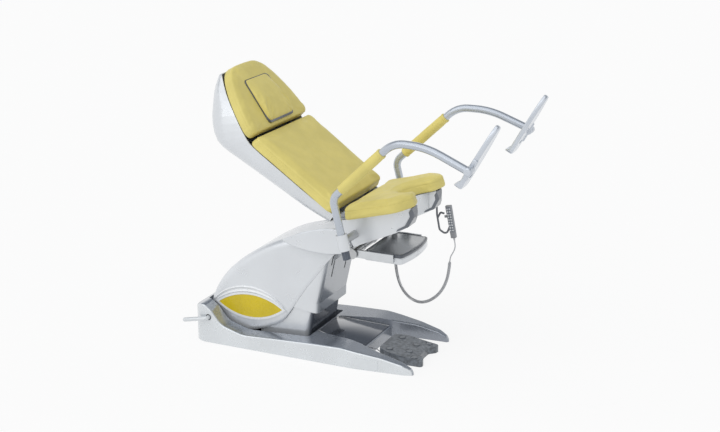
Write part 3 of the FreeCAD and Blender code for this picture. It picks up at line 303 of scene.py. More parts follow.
def toned(material, shader, factor, colour, second, start=0.35, end=0.65):
    """Runs the base colour from colour to second by the factor."""
    ramp = node(material, "ValToRGB")
    ramp.color_ramp.elements[0].position = start
    ramp.color_ramp.elements[1].position = end
    ramp.color_ramp.elements[0].color = (*colour, 1)
    ramp.color_ramp.elements[1].color = (*second, 1)
    linked(material, factor, ramp.inputs["Fac"])
    linked(material, ramp.outputs["Color"], shader.inputs["Base Color"])


def raised(material, shader, height, strength, distance, under=None):
    """Adds a bump by the height, on top of another one if given."""
    bump = node(material, "Bump", Strength=strength, Distance=distance)
    linked(material, height, bump.inputs["Height"])
    if under is not None:
        linked(material, under, bump.inputs["Normal"])
    linked(material, bump.outputs["Normal"], shader.inputs["Normal"])
    return bump.outputs["Normal"]


def fractal(material, scale, detail=4.0, roughness=0.55, place=None):
    pattern = node(material, "TexNoise", Scale=scale, Detail=detail, Roughness=roughness)
    linked(material, place if place is not None else place_of(material), pattern.inputs["Vector"])
    return pattern.outputs["Fac"]


def shade(colour, share):
    return tuple(min(1.0, channel * share) for channel in colour)


def facing(material, axis, start, end):
    """How far the surface faces along one of the piece's own axes: 0 before start, 1 after end."""
    parts = node(material, "SeparateXYZ")
    linked(material, node(material, "TexCoord").outputs["Normal"], parts.inputs[0])
    return spread(material, parts.outputs[axis], 0.0, 1.0, start, end)


def mixed_colour(material, factor, first, second):
    """A colour between two sockets or colours."""
    mix = node(material, "Mix", data_type="RGBA")
    linked(material, factor, mix.inputs["Factor"])
    for socket, value in ((mix.inputs[6], first), (mix.inputs[7], second)):
        if isinstance(value, tuple):
            socket.default_value = (*value, 1)
        else:
            linked(material, value, socket)
    return mix.outputs[2]


def lacquer(name, colour, roughness=0.3, metallic=0.4, coat=0.5, dark=None, axis=None, start=0.6, end=0.95):
    """Metallic lacquer: slow tone, faint waves and a little handling haze; dark where it faces along the axis."""
    material, shader = started(name, colour, roughness, Metallic=metallic, Coat_Weight=coat, Coat_Roughness=0.1)
    slow = fractal(material, 3.5, 2.0)
    toned(material, shader, slow, shade(colour, 0.965), shade(colour, 1.035))
    # On the base, the dark colour on upward faces is painted reflection: it stands in for the dark overhead that their
    # gloss shows.
    if dark:
        mask = facing(material, axis, start, end)
        tone = shader.inputs["Base Color"].links[0].from_socket
        linked(material, mixed_colour(material, mask, tone, dark), shader.inputs["Base Color"])
    linked(material, spread(material, fractal(material, 14.0, 6.0), roughness * 0.85, roughness * 1.2),
           shader.inputs["Roughness"])
    raised(material, shader, fractal(material, 24.0, 2.0), 0.1, 0.0003)
    return material


def painted_wall_shade(material, colour):
    """Painted shade: darkens the walls that face the chair's middle plane, and those that face its foot end."""
    shader = material.node_tree.nodes["Principled BSDF"]
    coordinates = node(material, "TexCoord")
    place, normal = node(material, "SeparateXYZ"), node(material, "SeparateXYZ")
    linked(material, coordinates.outputs["Object"], place.inputs[0])
    linked(material, coordinates.outputs["Normal"], normal.inputs[0])
    inward = node(material, "Math", operation="MULTIPLY")
    linked(material, place.outputs["Y"], inward.inputs[0])
    linked(material, normal.outputs["Y"], inward.inputs[1])
    most = node(material, "Math", operation="MAXIMUM")
    linked(material, spread(material, inward.outputs[0], 0.0, 1.0, -0.03, -0.09), most.inputs[0])
    linked(material, spread(material, normal.outputs["X"], 0.0, 1.0, 0.6, 0.95), most.inputs[1])
    tone = shader.inputs["Base Color"].links[0].from_socket
    linked(material, mixed_colour(material, most.outputs[0], tone, colour), shader.inputs["Base Color"])
    return material


def leatherette(name, colour):
    """Fine-grained coated fabric: pebbled grain, pores, slow creases and slightly worn sheen."""
    material, shader = started(name, colour, 0.5, Specular_IOR_Level=0.35, Sheen_Weight=0.08, Sheen_Roughness=0.4)
    slow = fractal(material, 7.0, 5.0)
    toned(material, shader, slow, shade(colour, 0.93), shade(colour, 1.05))
    linked(material, spread(material, fractal(material, 30.0, 4.0), 0.42, 0.58), shader.inputs["Roughness"])
    grain = node(material, "TexVoronoi", Scale=620.0, Randomness=0.95, feature="DISTANCE_TO_EDGE")
    warp = node(material, "TexNoise", Scale=240.0, Detail=2.0)
    place = place_of(material)
    linked(material, place, warp.inputs["Vector"])
    mixed = node(material, "VectorMath", operation="MULTIPLY_ADD")
    linked(material, warp.outputs["Color"], mixed.inputs[0])
    mixed.inputs[1].default_value = (0.0016, 0.0016, 0.0016)
    linked(material, place, mixed.inputs[2])
    linked(material, mixed.outputs["Vector"], grain.inputs["Vector"])
    creases = raised(material, shader, fractal(material, 26.0, 5.0, 0.6), 0.12, 0.003)
    raised(material, shader, grain.outputs["Distance"], 0.3, 0.0005, creases)
    return material


def steel(name, colour, roughness, stretch=(1, 40, 1), scale=90.0):
    """Brushed or polished steel: long fine lines along one direction."""
    material, shader = started(name, colour, roughness, Metallic=1.0)
    stretched = node(material, "Mapping", Scale=stretch)
    linked(material, place_of(material), stretched.inputs["Vector"])
    lines = fractal(material, scale, 5.0, 0.6, stretched.outputs["Vector"])
    linked(material, spread(material, lines, roughness * 0.75, roughness * 1.35), shader.inputs["Roughness"])
    toned(material, shader, fractal(material, 8.0, 3.0), shade(colour, 0.93), shade(colour, 1.04))
    raised(material, shader, lines, 0.05, 0.0003)
    return material


def moulded(name, colour, roughness, grain=900.0, depth=0.15, second=None, mottle=18.0, coat=0.0):
    """Moulded plastic or rubber: a fine eroded skin, with a second tone where it is mottled."""
    material, shader = started(name, colour, roughness, Coat_Weight=coat, Coat_Roughness=0.2)
    toned(material, shader, fractal(material, mottle, 5.0), colour, second or shade(colour, 1.12))
    linked(material, spread(material, fractal(material, 40.0, 5.0), roughness * 0.85, min(1.0, roughness * 1.15)),
           shader.inputs["Roughness"])
    raised(material, shader, fractal(material, grain, 3.0), depth, 0.0003)
    return material


def glossy_panel(name, colour):
    """Clear gloss over a coloured panel, with faint depth and fine dust."""
    material, shader = started(name, colour, 0.28, Coat_Weight=0.3, Coat_Roughness=0.1, Specular_IOR_Level=0.4)
    toned(material, shader, fractal(material, 9.0, 3.0), shade(colour, 0.94), shade(colour, 1.04))
    linked(material, spread(material, fractal(material, 55.0, 6.0), 0.22, 0.34), shader.inputs["Roughness"])
    raised(material, shader, fractal(material, 300.0, 2.0), 0.02, 0.0003)
    return material


FINISH = {}


# Sizes and colours

def colour_setting(name, description, default):
    return bpy.props.FloatVectorProperty(name=name, description=description, subtype="COLOR", size=3, min=0.0,
                                         max=1.0, default=default)


def length_setting(name, description, default):
    return bpy.props.FloatProperty(name=name, description=description, default=default, min=0.0, unit="LENGTH")


class CHAIR_PG_finishes(bpy.types.PropertyGroup):
    """The colours of the chair"""
    cover: colour_setting("Covers", "Silver lacquer of the arm, carriage and seat covers", (0.7, 0.725, 0.755))
    base: colour_setting("Base", "Pale lacquer of the base cover's sides", (0.7, 0.73, 0.755))
    # Base top: painted reflection, a darker colour on the base's upward faces for the dark overhead seen in their
    # gloss.
    rim: colour_setting("Base top", "Dark glossy lacquer on the base's upper faces", (0.24, 0.27, 0.32))
    # On the tread this dark colour is painted reflection of the column above it.
    tread: colour_setting("Tread", "Dark lacquer of the tread and the column's front", (0.12, 0.135, 0.165))
    shield: colour_setting("Shield", "Grey lacquer on the shield's front", (0.3, 0.325, 0.36))
    tube: colour_setting("Tubes", "Powder coat of the leg support tubes", (0.5, 0.54, 0.6))
    foot_rest: colour_setting("Foot rests", "Lacquer of the foot plates", (0.6, 0.64, 0.7))
    upholstery: colour_setting("Upholstery", "Leatherette of the pads and sleeves", (0.76, 0.655, 0.21))
    panel: colour_setting("Side panel", "Gloss panel in the arm's sides", (0.68, 0.52, 0.006))
    # Inner walls: painted shade on the walls between the base's prongs and on the walls facing the foot end.
    inner: colour_setting("Inner walls", "Lacquer of the walls between the base's prongs", (0.3, 0.325, 0.37))
    edge: colour_setting("Seat edge", "Grey edge round the thigh rests' front", (0.13, 0.145, 0.17))
    trim: colour_setting("Trim", "Dark edge trim and tray rim", (0.07, 0.08, 0.1))
    control: colour_setting("Foot control", "Housing of the foot control", (0.13, 0.145, 0.165))
    handset: colour_setting("Handset", "Shell of the handset", (0.29, 0.3, 0.32))
    jacket: colour_setting("Cord", "Jacket of the handset's cord", (0.52, 0.53, 0.55))


class CHAIR_PG_pads(bpy.types.PropertyGroup):
    """How the pads are made"""
    voxel: length_setting("Voxel", "Mesh size of the pads before they are filled", 0.0065)
    pressure: bpy.props.FloatProperty(name="Pressure", description="Filling pressure of the pads", default=4.0)
    crown: length_setting("Crown", "Furthest that the filling may push a cover out", 0.010)
    slack: length_setting("Slack", "How far a cover is drawn in before it is filled", 0.0015)
    seam: length_setting("Seam depth", "Depth of the sewn seams", 0.0022)
    frames: bpy.props.IntProperty(name="Frames", description="Length of the filling in frames", default=20)


class CHAIR_PG_cords(bpy.types.PropertyGroup):
    """The cords"""
    coil_diameter: length_setting("Coil diameter", "Outer diameter of the curly cord", 0.017)
    wire_diameter: length_setting("Jacket diameter", "Jacket of the curly part", 0.0042)
    pitch: length_setting("Pitch", "Distance from turn to turn", 0.0052)
    straight_diameter: length_setting("Straight diameter", "Diameter of the straight part", 0.006)
    cable_diameter: length_setting("Cable diameter", "Diameter of the foot control's cable", 0.006)


class CHAIR_PG_stage(bpy.types.PropertyGroup):
    """Floor, light and camera"""
    floor: colour_setting("Floor", "Colour of the floor", (0.9, 0.9, 0.9))
    lift: bpy.props.FloatProperty(name="Floor lift", description="Share of plain white in the floor that is seen",
                                  default=0.84, subtype="FACTOR")
    sky: bpy.props.FloatProperty(name="Sky", description="Light from all round", default=0.55)
    sun: bpy.props.FloatProperty(name="Sun", description="Strength of the soft main light", default=1.35)
    softness: bpy.props.FloatProperty(name="Softness", description="How wide the main light is",
                                      default=math.radians(75), subtype="ANGLE")
    overhead: colour_setting("Overhead", "What gloss shows above the chair", (0.2, 0.22, 0.25))
    lens: bpy.props.FloatProperty(name="Lens", description="Focal length", default=70.23, unit="CAMERA")


def setting(group):
    return getattr(bpy.context.scene, "chair_" + group)


class ChairStep:
    """What every step of the chair's making has in common"""
    bl_options = {"REGISTER", "UNDO"}

    def execute(self, context):
        self.make(setting("finishes"))
        return {"FINISHED"}


LIGHT_FROM = (-0.28, -0.72, 1.0)
CAMERA_PLACE = (2.808, -6.072, 2.757)
CAMERA_BACK = (0.4011, -0.8674, 0.2946)
CAMERA_TURN = 24.82


class CHAIR_OT_stage(ChairStep, bpy.types.Operator):
    """Sets the floor, the soft light and the camera"""
    bl_idname = "chair.stage"
    bl_label = "Stage"

    def make(self, finishes):
        stage = setting("stage")
        scene = bpy.context.scene
        scene.view_settings.view_transform = "Standard"

        bpy.ops.mesh.primitive_plane_add(size=90, location=(0, 0, -0.0005))
        floor = settled(added("studio_floor"))
        floor.data.materials.append(self.floor_paint(stage))
        self.surround(scene, stage)

        bpy.ops.object.light_add(type="SUN", location=(-1.4, -4.2, 5.0))
        lamp = bpy.context.active_object
        lamp.name = "main_light"
        lamp.data.energy = stage.sun
        lamp.data.angle = stage.softness
        lamp.rotation_euler = (-Vector(LIGHT_FROM)).to_track_quat("-Z", "Y").to_euler()

        camera = bpy.data.cameras.new("camera")
        camera.lens = stage.lens
        camera.sensor_width = 36
        viewer = bpy.data.objects.new("camera", camera)
        scene.collection.objects.link(viewer)
        turn = math.radians(CAMERA_TURN)
        back = Vector(CAMERA_BACK).normalized()
        side = Vector((math.cos(turn), math.sin(turn), 0))
        up = back.cross(side).normalized()
        viewer.matrix_world = Matrix.Translation(CAMERA_PLACE) @ Matrix((side, up, back)).transposed().to_4x4()
        scene.camera = viewer

    def seen(self, tree):
        """1 for what the camera sees, also in gloss and through glass."""
        path = tree.nodes.new("ShaderNodeLightPath")
        found = path.outputs["Is Camera Ray"]
        for name in ("Is Glossy Ray", "Is Transmission Ray"):
            most = tree.nodes.new("ShaderNodeMath")
            most.operation = "MAXIMUM"
            tree.links.new(found, most.inputs[0])
            tree.links.new(path.outputs[name], most.inputs[1])
            found = most.outputs[0]
        return found

    def floor_paint(self, stage):
        """A pale floor that is lifted to white where it is seen, and keeps the chair's shadow."""
        material, shader = started("studio_floor", stage.floor, 0.9, Specular_IOR_Level=0.1)
        raised(material, shader, fractal(material, 40.0), 0.02, 0.001)
        tree = material.node_tree
        output = next(found for found in tree.nodes if found.type == "OUTPUT_MATERIAL")
        white = tree.nodes.new("ShaderNodeEmission")
        share = tree.nodes.new("ShaderNodeMath")
        share.operation = "MULTIPLY"
        share.inputs[1].default_value = stage.lift
        mix = tree.nodes.new("ShaderNodeMixShader")
        tree.links.new(self.seen(tree), share.inputs[0])
        tree.links.new(share.outputs[0], mix.inputs["Fac"])
        tree.links.new(shader.outputs[0], mix.inputs[1])
        tree.links.new(white.outputs[0], mix.inputs[2])
        tree.links.new(mix.outputs[0], output.inputs["Surface"])
        material.cycles.emission_sampling = "NONE"
        return material

    def surround(self, scene, stage):
        """Even light from all round; what is seen is white at the sides and darker overhead."""
        world = scene.world or bpy.data.worlds.new("studio")
        scene.world = world
        world.use_nodes = True
        world.cycles.sampling_method = "NONE"
        tree = world.node_tree
        tree.nodes.clear()
        lit = tree.nodes.new("ShaderNodeBackground")
        lit.inputs["Color"].default_value = (0.98, 0.99, 1.0, 1)
        lit.inputs["Strength"].default_value = stage.sky
        height = tree.nodes.new("ShaderNodeSeparateXYZ")
        tree.links.new(tree.nodes.new("ShaderNodeTexCoord").outputs["Generated"], height.inputs[0])
        ramp = tree.nodes.new("ShaderNodeValToRGB")
        ramp.color_ramp.interpolation = "EASE"
        ramp.color_ramp.elements[0].position = 0.3
        ramp.color_ramp.elements[0].color = (1, 1, 1, 1)
        ramp.color_ramp.elements[1].position = 0.62
        ramp.color_ramp.elements[1].color = (*stage.overhead, 1)
        tree.links.new(height.outputs["Z"], ramp.inputs["Fac"])
        pale = tree.nodes.new("ShaderNodeBackground")
        tree.links.new(ramp.outputs["Color"], pale.inputs["Color"])
        mix = tree.nodes.new("ShaderNodeMixShader")
        output = tree.nodes.new("ShaderNodeOutputWorld")
        tree.links.new(self.seen(tree), mix.inputs["Fac"])
        tree.links.new(lit.outputs[0], mix.inputs[1])
        tree.links.new(pale.outputs[0], mix.inputs[2])
        tree.links.new(mix.outputs[0], output.inputs["Surface"])


# The cords' routes, in metres, as the solids have them
HANDSET_SIDE = 0.2
STRAIGHT_ROUTE = [(0.4302, 0.5617), (0.4335, 0.5454), (0.433, 0.527), (0.427, 0.509), (0.417, 0.491),
                  (0.4084, 0.4735), (0.407, 0.455)]
COIL_ROUTE = [(0.407, 0.455), (0.403, 0.402), (0.392, 0.348), (0.370, 0.296), (0.336, 0.252), (0.292, 0.219),
              (0.244, 0.205), (0.196, 0.218), (0.158, 0.250), (0.131, 0.296), (0.116, 0.350), (0.109, 0.406),
              (0.105, 0.462), (0.103, 0.511), (0.102, 0.560)]
CABLE_ROUTE = [(0.088, -0.060, 0.026), (0.122, -0.060, 0.026), (0.140, -0.074, 0.022), (0.161, -0.082, 0.022)]


def route_spline(name, places, thickness):
    """A smooth curve with the places as its control points."""
    curve = bpy.data.curves.new(name, "CURVE")
    curve.dimensions = "3D"
    curve.resolution_u = 14
    curve.bevel_depth = thickness / 2
    curve.bevel_resolution = 5
    curve.use_fill_caps = True
    spline = curve.splines.new("NURBS")
    spline.points.add(len(places) - 1)
    for point, place in zip(spline.points, places):
        point.co = (*place, 1)
    spline.order_u = 3
    spline.use_endpoint_u = True
    piece = bpy.data.objects.new(name, curve)
    bpy.context.scene.collection.objects.link(piece)
    return piece


def spline_points(piece):
    """The points of the curve's own smooth line."""
    depth = piece.data.bevel_depth
    piece.data.bevel_depth = 0
    bpy.context.view_layer.update()
    line = bpy.data.meshes.new_from_object(piece.evaluated_get(bpy.context.evaluated_depsgraph_get()))
    places = [vertex.co.copy() for vertex in line.vertices]
    bpy.data.meshes.remove(line)
    piece.data.bevel_depth = depth
    return places


def line_length(places):
    return sum((b - a).length for a, b in zip(places, places[1:]))


def spaced(places, step):
    """Points at an even step along the line."""
    count = max(2, round(line_length(places) / step))
    step = line_length(places) / count
    found, walked, target = [], 0.0, 0.0
    for a, b in zip(places, places[1:]):
        run = (b - a).length
        while target <= walked + run + 1e-9 and len(found) <= count:
            found.append(a.lerp(b, 0 if run == 0 else min(1.0, (target - walked) / run)))
            target += step
        walked += run
    return found


def meshed(piece, name):
    """The curve as a mesh of its own."""
    only(piece)
    bpy.ops.object.convert(target="MESH")
    return added(name)


class CHAIR_OT_cords(ChairStep, bpy.types.Operator):
    """Hangs the handset's cord, straight and curly, and lays the foot control's cable"""
    bl_idname = "chair.cords"
    bl_label = "Cords"

    def make(self, finishes):
        sizes = setting("cords")
        jacket = moulded("cord_jacket", finishes.jacket, 0.42, 1400.0, 0.1)

        straight = [(x, HANDSET_SIDE, z) for x, z in STRAIGHT_ROUTE]
        curve = route_spline("handset_cord", straight, sizes.straight_diameter)
        line = spline_points(curve)
        piece = meshed(curve, "handset_cord")
        handed_over(piece, "seat", jacket, "cord_jacket", "straight_cord")
        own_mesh(piece)

        coil = [(x, HANDSET_SIDE, z) for x, z in COIL_ROUTE]
        guide = route_spline("coil_guide", coil, 0.0)
        line = spline_points(guide)
        turns = round(line_length(line) / sizes.pitch)
        per_turn = 12
        steps = spaced(line, line_length(line) / (turns * per_turn))
        reach = (sizes.coil_diameter - sizes.wire_diameter) / 2
        wound = []
        for i, place in enumerate(steps):
            along = (steps[min(i + 1, len(steps) - 1)] - steps[max(i - 1, 0)]).normalized()
            side = Vector((0, 1, 0))
            out = along.cross(side).normalized()
            angle = 2 * math.pi * i / per_turn
            ease = min(1.0, i / (2 * per_turn), (len(steps) - 1 - i) / (2 * per_turn))
            wound.append(place + (out * math.cos(angle) + side * math.sin(angle)) * reach * ease)
        bpy.data.objects.remove(guide)
        curve = route_spline("curly_cord", wound, sizes.wire_diameter)
        curve.data.resolution_u = 1
        curve.data.bevel_resolution = 1
        piece = meshed(curve, "curly_cord")
        bpy.ops.object.shade_smooth()
        handed_over(piece, "seat", jacket, "cord_jacket", "coiled_cord")
        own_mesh(piece)

        curve = route_spline("foot_control_cable", CABLE_ROUTE, sizes.cable_diameter)
        length = line_length(spline_points(curve))
        curve.data.materials.append(jacket)
        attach(curve, "base")
        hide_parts("foot_cable")
        dressed(jacket, "cord_boot", "cord_socket")


def finish_all(finishes):
    """The materials that more than one step uses."""
    FINISH["cover"] = lacquer("silver_lacquer", finishes.cover, 0.3, 0.45)
    # The base's lacquer carries painted reflection on its upward faces and painted shade on its inner and foot-facing
    # walls.
    FINISH["base"] = painted_wall_shade(
        lacquer("base_lacquer_painted_reflection_and_shade", finishes.base, 0.26, 0.45, 0.6, tuple(finishes.rim), "Z", 0.55, 0.93),
        tuple(finishes.inner))
    FINISH["edge"] = lacquer("edge_lacquer", finishes.edge, 0.24, 0.4, 0.6)
    FINISH["plain"] = lacquer("pale_lacquer", finishes.base, 0.3, 0.3)
    # Painted reflection: the tread's dark panel stands in for the column mirrored in it.
    FINISH["dark"] = lacquer("painted_reflection_lacquer", finishes.tread, 0.14, 0.5, 0.9)
    FINISH["column"] = lacquer("column_lacquer", finishes.cover, 0.22, 0.5, 0.8, tuple(finishes.tread), "X", 0.5, 0.9)
    FINISH["shield"] = lacquer("shield_lacquer", finishes.cover, 0.22, 0.5, 0.8, tuple(finishes.shield), "X", 0.5, 0.9)
    FINISH["tube"] = lacquer("tube_powder_coat", finishes.tube, 0.26, 0.6, 0.4)
    FINISH["foot_rest"] = lacquer("foot_rest_lacquer", finishes.foot_rest, 0.24, 0.55, 0.5)
    FINISH["skin"] = leatherette("leatherette", finishes.upholstery)
    FINISH["panel"] = glossy_panel("gloss_panel", finishes.panel)
    FINISH["frame"] = lacquer("pale_frame", (0.8, 0.82, 0.84), 0.28, 0.15)
    FINISH["trim"] = moulded("dark_trim", finishes.trim, 0.34, coat=0.4)
    FINISH["rubber"] = moulded("knob_rubber", shade(finishes.trim, 1.6), 0.55)
    FINISH["control"] = moulded("mottled_control", shade(finishes.control, 0.7), 0.38, 500.0, 0.2,
                                shade(finishes.control, 1.6), 60.0, 0.3)
    FINISH["steel"] = steel("zinc_plated", (0.5, 0.51, 0.52), 0.34, (1, 1, 12), 60.0)
    FINISH["polished"] = steel("polished_basin", (0.38, 0.39, 0.4), 0.18, (30, 1, 1), 40.0)
    FINISH["aluminium"] = steel("anodised_rail", (0.62, 0.64, 0.66), 0.32)
    FINISH["casing"] = moulded("black_casing", (0.035, 0.036, 0.04), 0.55)
    FINISH["handset"] = moulded("handset_shell", finishes.handset, 0.42)
    FINISH["keys"] = moulded("keypad", (0.6, 0.62, 0.64), 0.4)
    FINISH["hook"] = moulded("hook", (0.15, 0.16, 0.18), 0.36, coat=0.3)


class CHAIR_OT_covers(ChairStep, bpy.types.Operator):
    """Lacquers the base, the column, the arm and the carriage"""
    bl_idname = "chair.covers"
    bl_label = "Covers"

    def make(self, finishes):
        finish_all(finishes)
        dressed(FINISH["base"], "base_cover")
        dressed(FINISH["plain"], "side_flaps", "transport_lever")
        dressed(FINISH["cover"], "arm_cover", "carriage_cover_left", "carriage_cover_right", "seat_shell",
                "back_shell")
        dressed(FINISH["frame"], "lens_frames")
        dressed(FINISH["panel"], "lens_panels")
        dressed(FINISH["column"], "column_housing")
        dressed(FINISH["shield"], "front_shield")
        dressed(FINISH["edge"], "seat_edge_trim")
        brow()
        tread()


# The brow's lower edge: its ends and its top, on the arm cover's side
BROW = ((-0.742, 0.188), (-0.545, 0.2715), (-0.316, 0.190))
BROW_STEPS = 56
ARM_SIDE = 0.185


def arc_through(first, middle, last, count):
    """Points on the circle through three points, from the first to the last, each with the circle's middle."""
    (ax, az), (bx, bz), (cx, cz) = first, middle, last
    d = 2 * (ax * (bz - cz) + bx * (cz - az) + cx * (az - bz))
    ux = ((ax * ax + az * az) * (bz - cz) + (bx * bx + bz * bz) * (cz - az) + (cx * cx + cz * cz) * (az - bz)) / d
    uz = ((ax * ax + az * az) * (cx - bx) + (bx * bx + bz * bz) * (ax - cx) + (cx * cx + cz * cz) * (bx - ax)) / d
    radius = math.hypot(ax - ux, az - uz)
    start, end = math.atan2(az - uz, ax - ux), math.atan2(cz - uz, cx - ux)
    return [(ux + radius * math.cos(start + (end - start) * i / count),
             uz + radius * math.sin(start + (end - start) * i / count), ux, uz) for i in range(count + 1)]


def brow():
    """The raised double ridge over each side panel."""
    ridge = ((0.0, 0.0), (0.0, 0.0045), (0.002, 0.006), (0.005, 0.006), (0.0075, 0.0035), (0.010, 0.0012),
             (0.016, 0.0008), (0.020, 0.0026), (0.0235, 0.0055), (0.027, 0.006), (0.030, 0.004), (0.033, 0.0),
             (0.033, -0.002), (0.0, -0.002))
    loops = []
    for i, (x, z, ux, uz) in enumerate(arc_through(*BROW, BROW_STEPS)):
        t = i / BROW_STEPS
        wide = 0.12 + 0.88 * math.sin(math.pi * min(1.0, t / 0.94) ** 0.8) ** 0.6 if 0 < t < 0.94 else 0.12
        high = min(1.0, t / 0.06 + 0.1, (1 - t) / 0.05 + 0.1)
        out = Vector((x - ux, 0, z - uz)).normalized()
        loops.append([Vector((x, -ARM_SIDE - rise * (high if rise > 0 else 1), z)) + out * along * wide
                      for along, rise in ridge])
    piece = facing_out(skinned("lens_brow_right", loops), 50)
    handed_over(piece, "lift_arm", FINISH["frame"], "pale_cover")
    handed_over(across(piece, "lens_brow_left"), "lift_arm", FINISH["frame"], "pale_cover")


def tread():
    """A dark panel on the tread as painted reflection of the column, with a thin pale line along each side as painted
    highlight.
    """
    rear, front = (-0.176, 0.0936), (0.088, 0.0617)

    def plate(name, rear_sides, front_sides, low, high):
        bpy.ops.mesh.primitive_cube_add(size=2)
        piece = added(name)
        for vertex in piece.data.vertices:
            x, z = rear if vertex.co.x < 0 else front
            sides = rear_sides if vertex.co.x < 0 else front_sides
            vertex.co = (x, sides[1] if vertex.co.y > 0 else sides[0], z + (high if vertex.co.z > 0 else low))
        modified(piece, "BEVEL", width=0.0008, segments=2, limit_method="NONE")
        return facing_out(piece)

    # The dark panel is painted reflection.
    panel = plate("tread_painted_reflection_panel", (-0.112, 0.112), (-0.166, 0.166), -0.0008, 0.0016)
    handed_over(panel, "base", FINISH["dark"], "silver_lacquer")
    # Pale strips along the tread's sides: painted highlights on its edges.
    for sign, side in SIDES:
        inner = (sign * 0.1132, sign * 0.1162), (sign * 0.1672, sign * 0.1702)
        line = plate("tread_painted_highlight_" + side, *(tuple(sorted(pair)) for pair in inner), -0.0008, 0.0022)
        handed_over(line, "base", FINISH["frame"], "pale_cover")


class CHAIR_OT_works(ChairStep, bpy.types.Operator):
    """Finishes the steel and the drive inside"""
    bl_idname = "chair.works"
    bl_label = "Works"

    def make(self, finishes):
        dressed(FINISH["steel"], "floor_plate", "levelling_screws", "pivot_brackets", "arm_pivot_shaft",
                "arm_top_shaft", "lift_rod", "back_hinge_pin", "carriage_frame", "seat_frame")
        dressed(FINISH["shield"], "arm_frame", "parallel_link")
        dressed(FINISH["trim"], "back_frame")
        dressed(FINISH["casing"], "lift_motor", "control_box")
        dressed(FINISH["aluminium"], "tray_rails")


TRAY = {"rear": 0.100, "front": 0.298, "half": 0.168, "low": 0.530, "top": 0.577}


def tray_loops(levels, radius=0.014):
    """Outlines of the tray, drawn in by each level's inset, at its height."""
    return [[Vector((x, y, z)) for x, y in rounded_box(TRAY["rear"], TRAY["front"], TRAY["half"], radius + extra,
                                                       0.021, 6, inset)]
            for inset, z, extra in levels]


def tray_parts():
    """The tray's pale shell with its dark rim, and the stepped basin that hangs in it."""
    low, top = TRAY["low"], TRAY["top"]
    shell = skinned("tray_shell", tray_loops((
        (0.014, low, 0.0), (0.004, low, 0.0), (0.001, low + 0.002, 0.0), (0.0, low + 0.006, 0.0),
        (0.0, top - 0.018, 0.0), (0.0015, top - 0.0165, 0.0), (0.0015, top - 0.014, 0.0), (0.014, top - 0.014, 0.0),
        (0.014, low, 0.0))), caps=False)
    runners = [block("tray_runner", (0.110, 0.215), pair, (0.5602, 0.5658), 0.0008)
               for pair in ((0.1665, 0.1778), (-0.1778, -0.1665))]
    shell = as_one([facing_out(shell, 35)] + runners, "tray_shell")
    handed_over(shell, "tray", FINISH["cover"], "pale_cover", "tray_frame")
    rim = skinned("tray_rim", tray_loops((
        (0.0156, top - 0.0138, 0.0), (0.001, top - 0.0138, 0.0), (0.0, top - 0.0125, 0.0), (0.0, top - 0.002, 0.0),
        (0.0015, top + 0.0005, 0.0), (0.004, top + 0.0012, 0.0), (0.0085, top + 0.0004, 0.0),
        (0.0156, top - 0.001, 0.0),
        (0.0156, top - 0.0138, 0.0))), caps=False)
    handed_over(facing_out(rim, 50), "tray", FINISH["trim"], "dark_trim")
    bowl = skinned("tray_bowl", tray_loops((
        (0.009, top + 0.0006, 0.0), (0.010, top + 0.0016, 0.0), (0.0155, top + 0.0016, 0.004),
        (0.0185, top + 0.0002, 0.012), (0.0205, top - 0.006, 0.018), (0.0225, top - 0.016, 0.022),
        (0.0245, top - 0.019, 0.024), (0.031, top - 0.0205, 0.026), (0.0335, top - 0.023, 0.028),
        (0.036, top - 0.036, 0.032), (0.041, top - 0.0415, 0.036), (0.052, top - 0.0432, 0.040),
        (0.085, top - 0.0436, 0.045))))
    bowl = modified(facing_out(bowl, 60), "SOLIDIFY", thickness=0.0011, offset=-1)
    handed_over(facing_out(bowl, 60), "tray", FINISH["polished"], "stainless", "tray_basin")


class CHAIR_OT_tray(ChairStep, bpy.types.Operator):
    """Finishes the sliding tray and its basin"""
    bl_idname = "chair.tray"
    bl_label = "Tray"

    def make(self, finishes):
        tray_parts()


HELD_BAND = 0.006
SEAM_WIDTH = 0.0022
END_BAND = 0.05
END_REACH = {"head_cushion": (1, 0.008), "back_cushion": (-1, 0.007)}
# The dark welt under the pillow is painted shade: its height and how much wider it is.
SHADOW_WELT_HEIGHT = 0.0115
SHADOW_WELT_GROWTH = 1.014

# Where the pads lie: foot of the pad and its tilt in degrees about the chair's cross axis
PAD_PLACES = {
    "seat_pad": ((0.039, 0, 0.752), -15.2),
    "back_pad": ((-0.015, 0, 0.771), 35.3),
    "head_pad": ((-0.470, 0, 1.104), 53.0),
    "head_pillow": ((-0.470, 0, 1.104), 53.0),
}


def pad_place(name):
    return tilted(*PAD_PLACES[name])


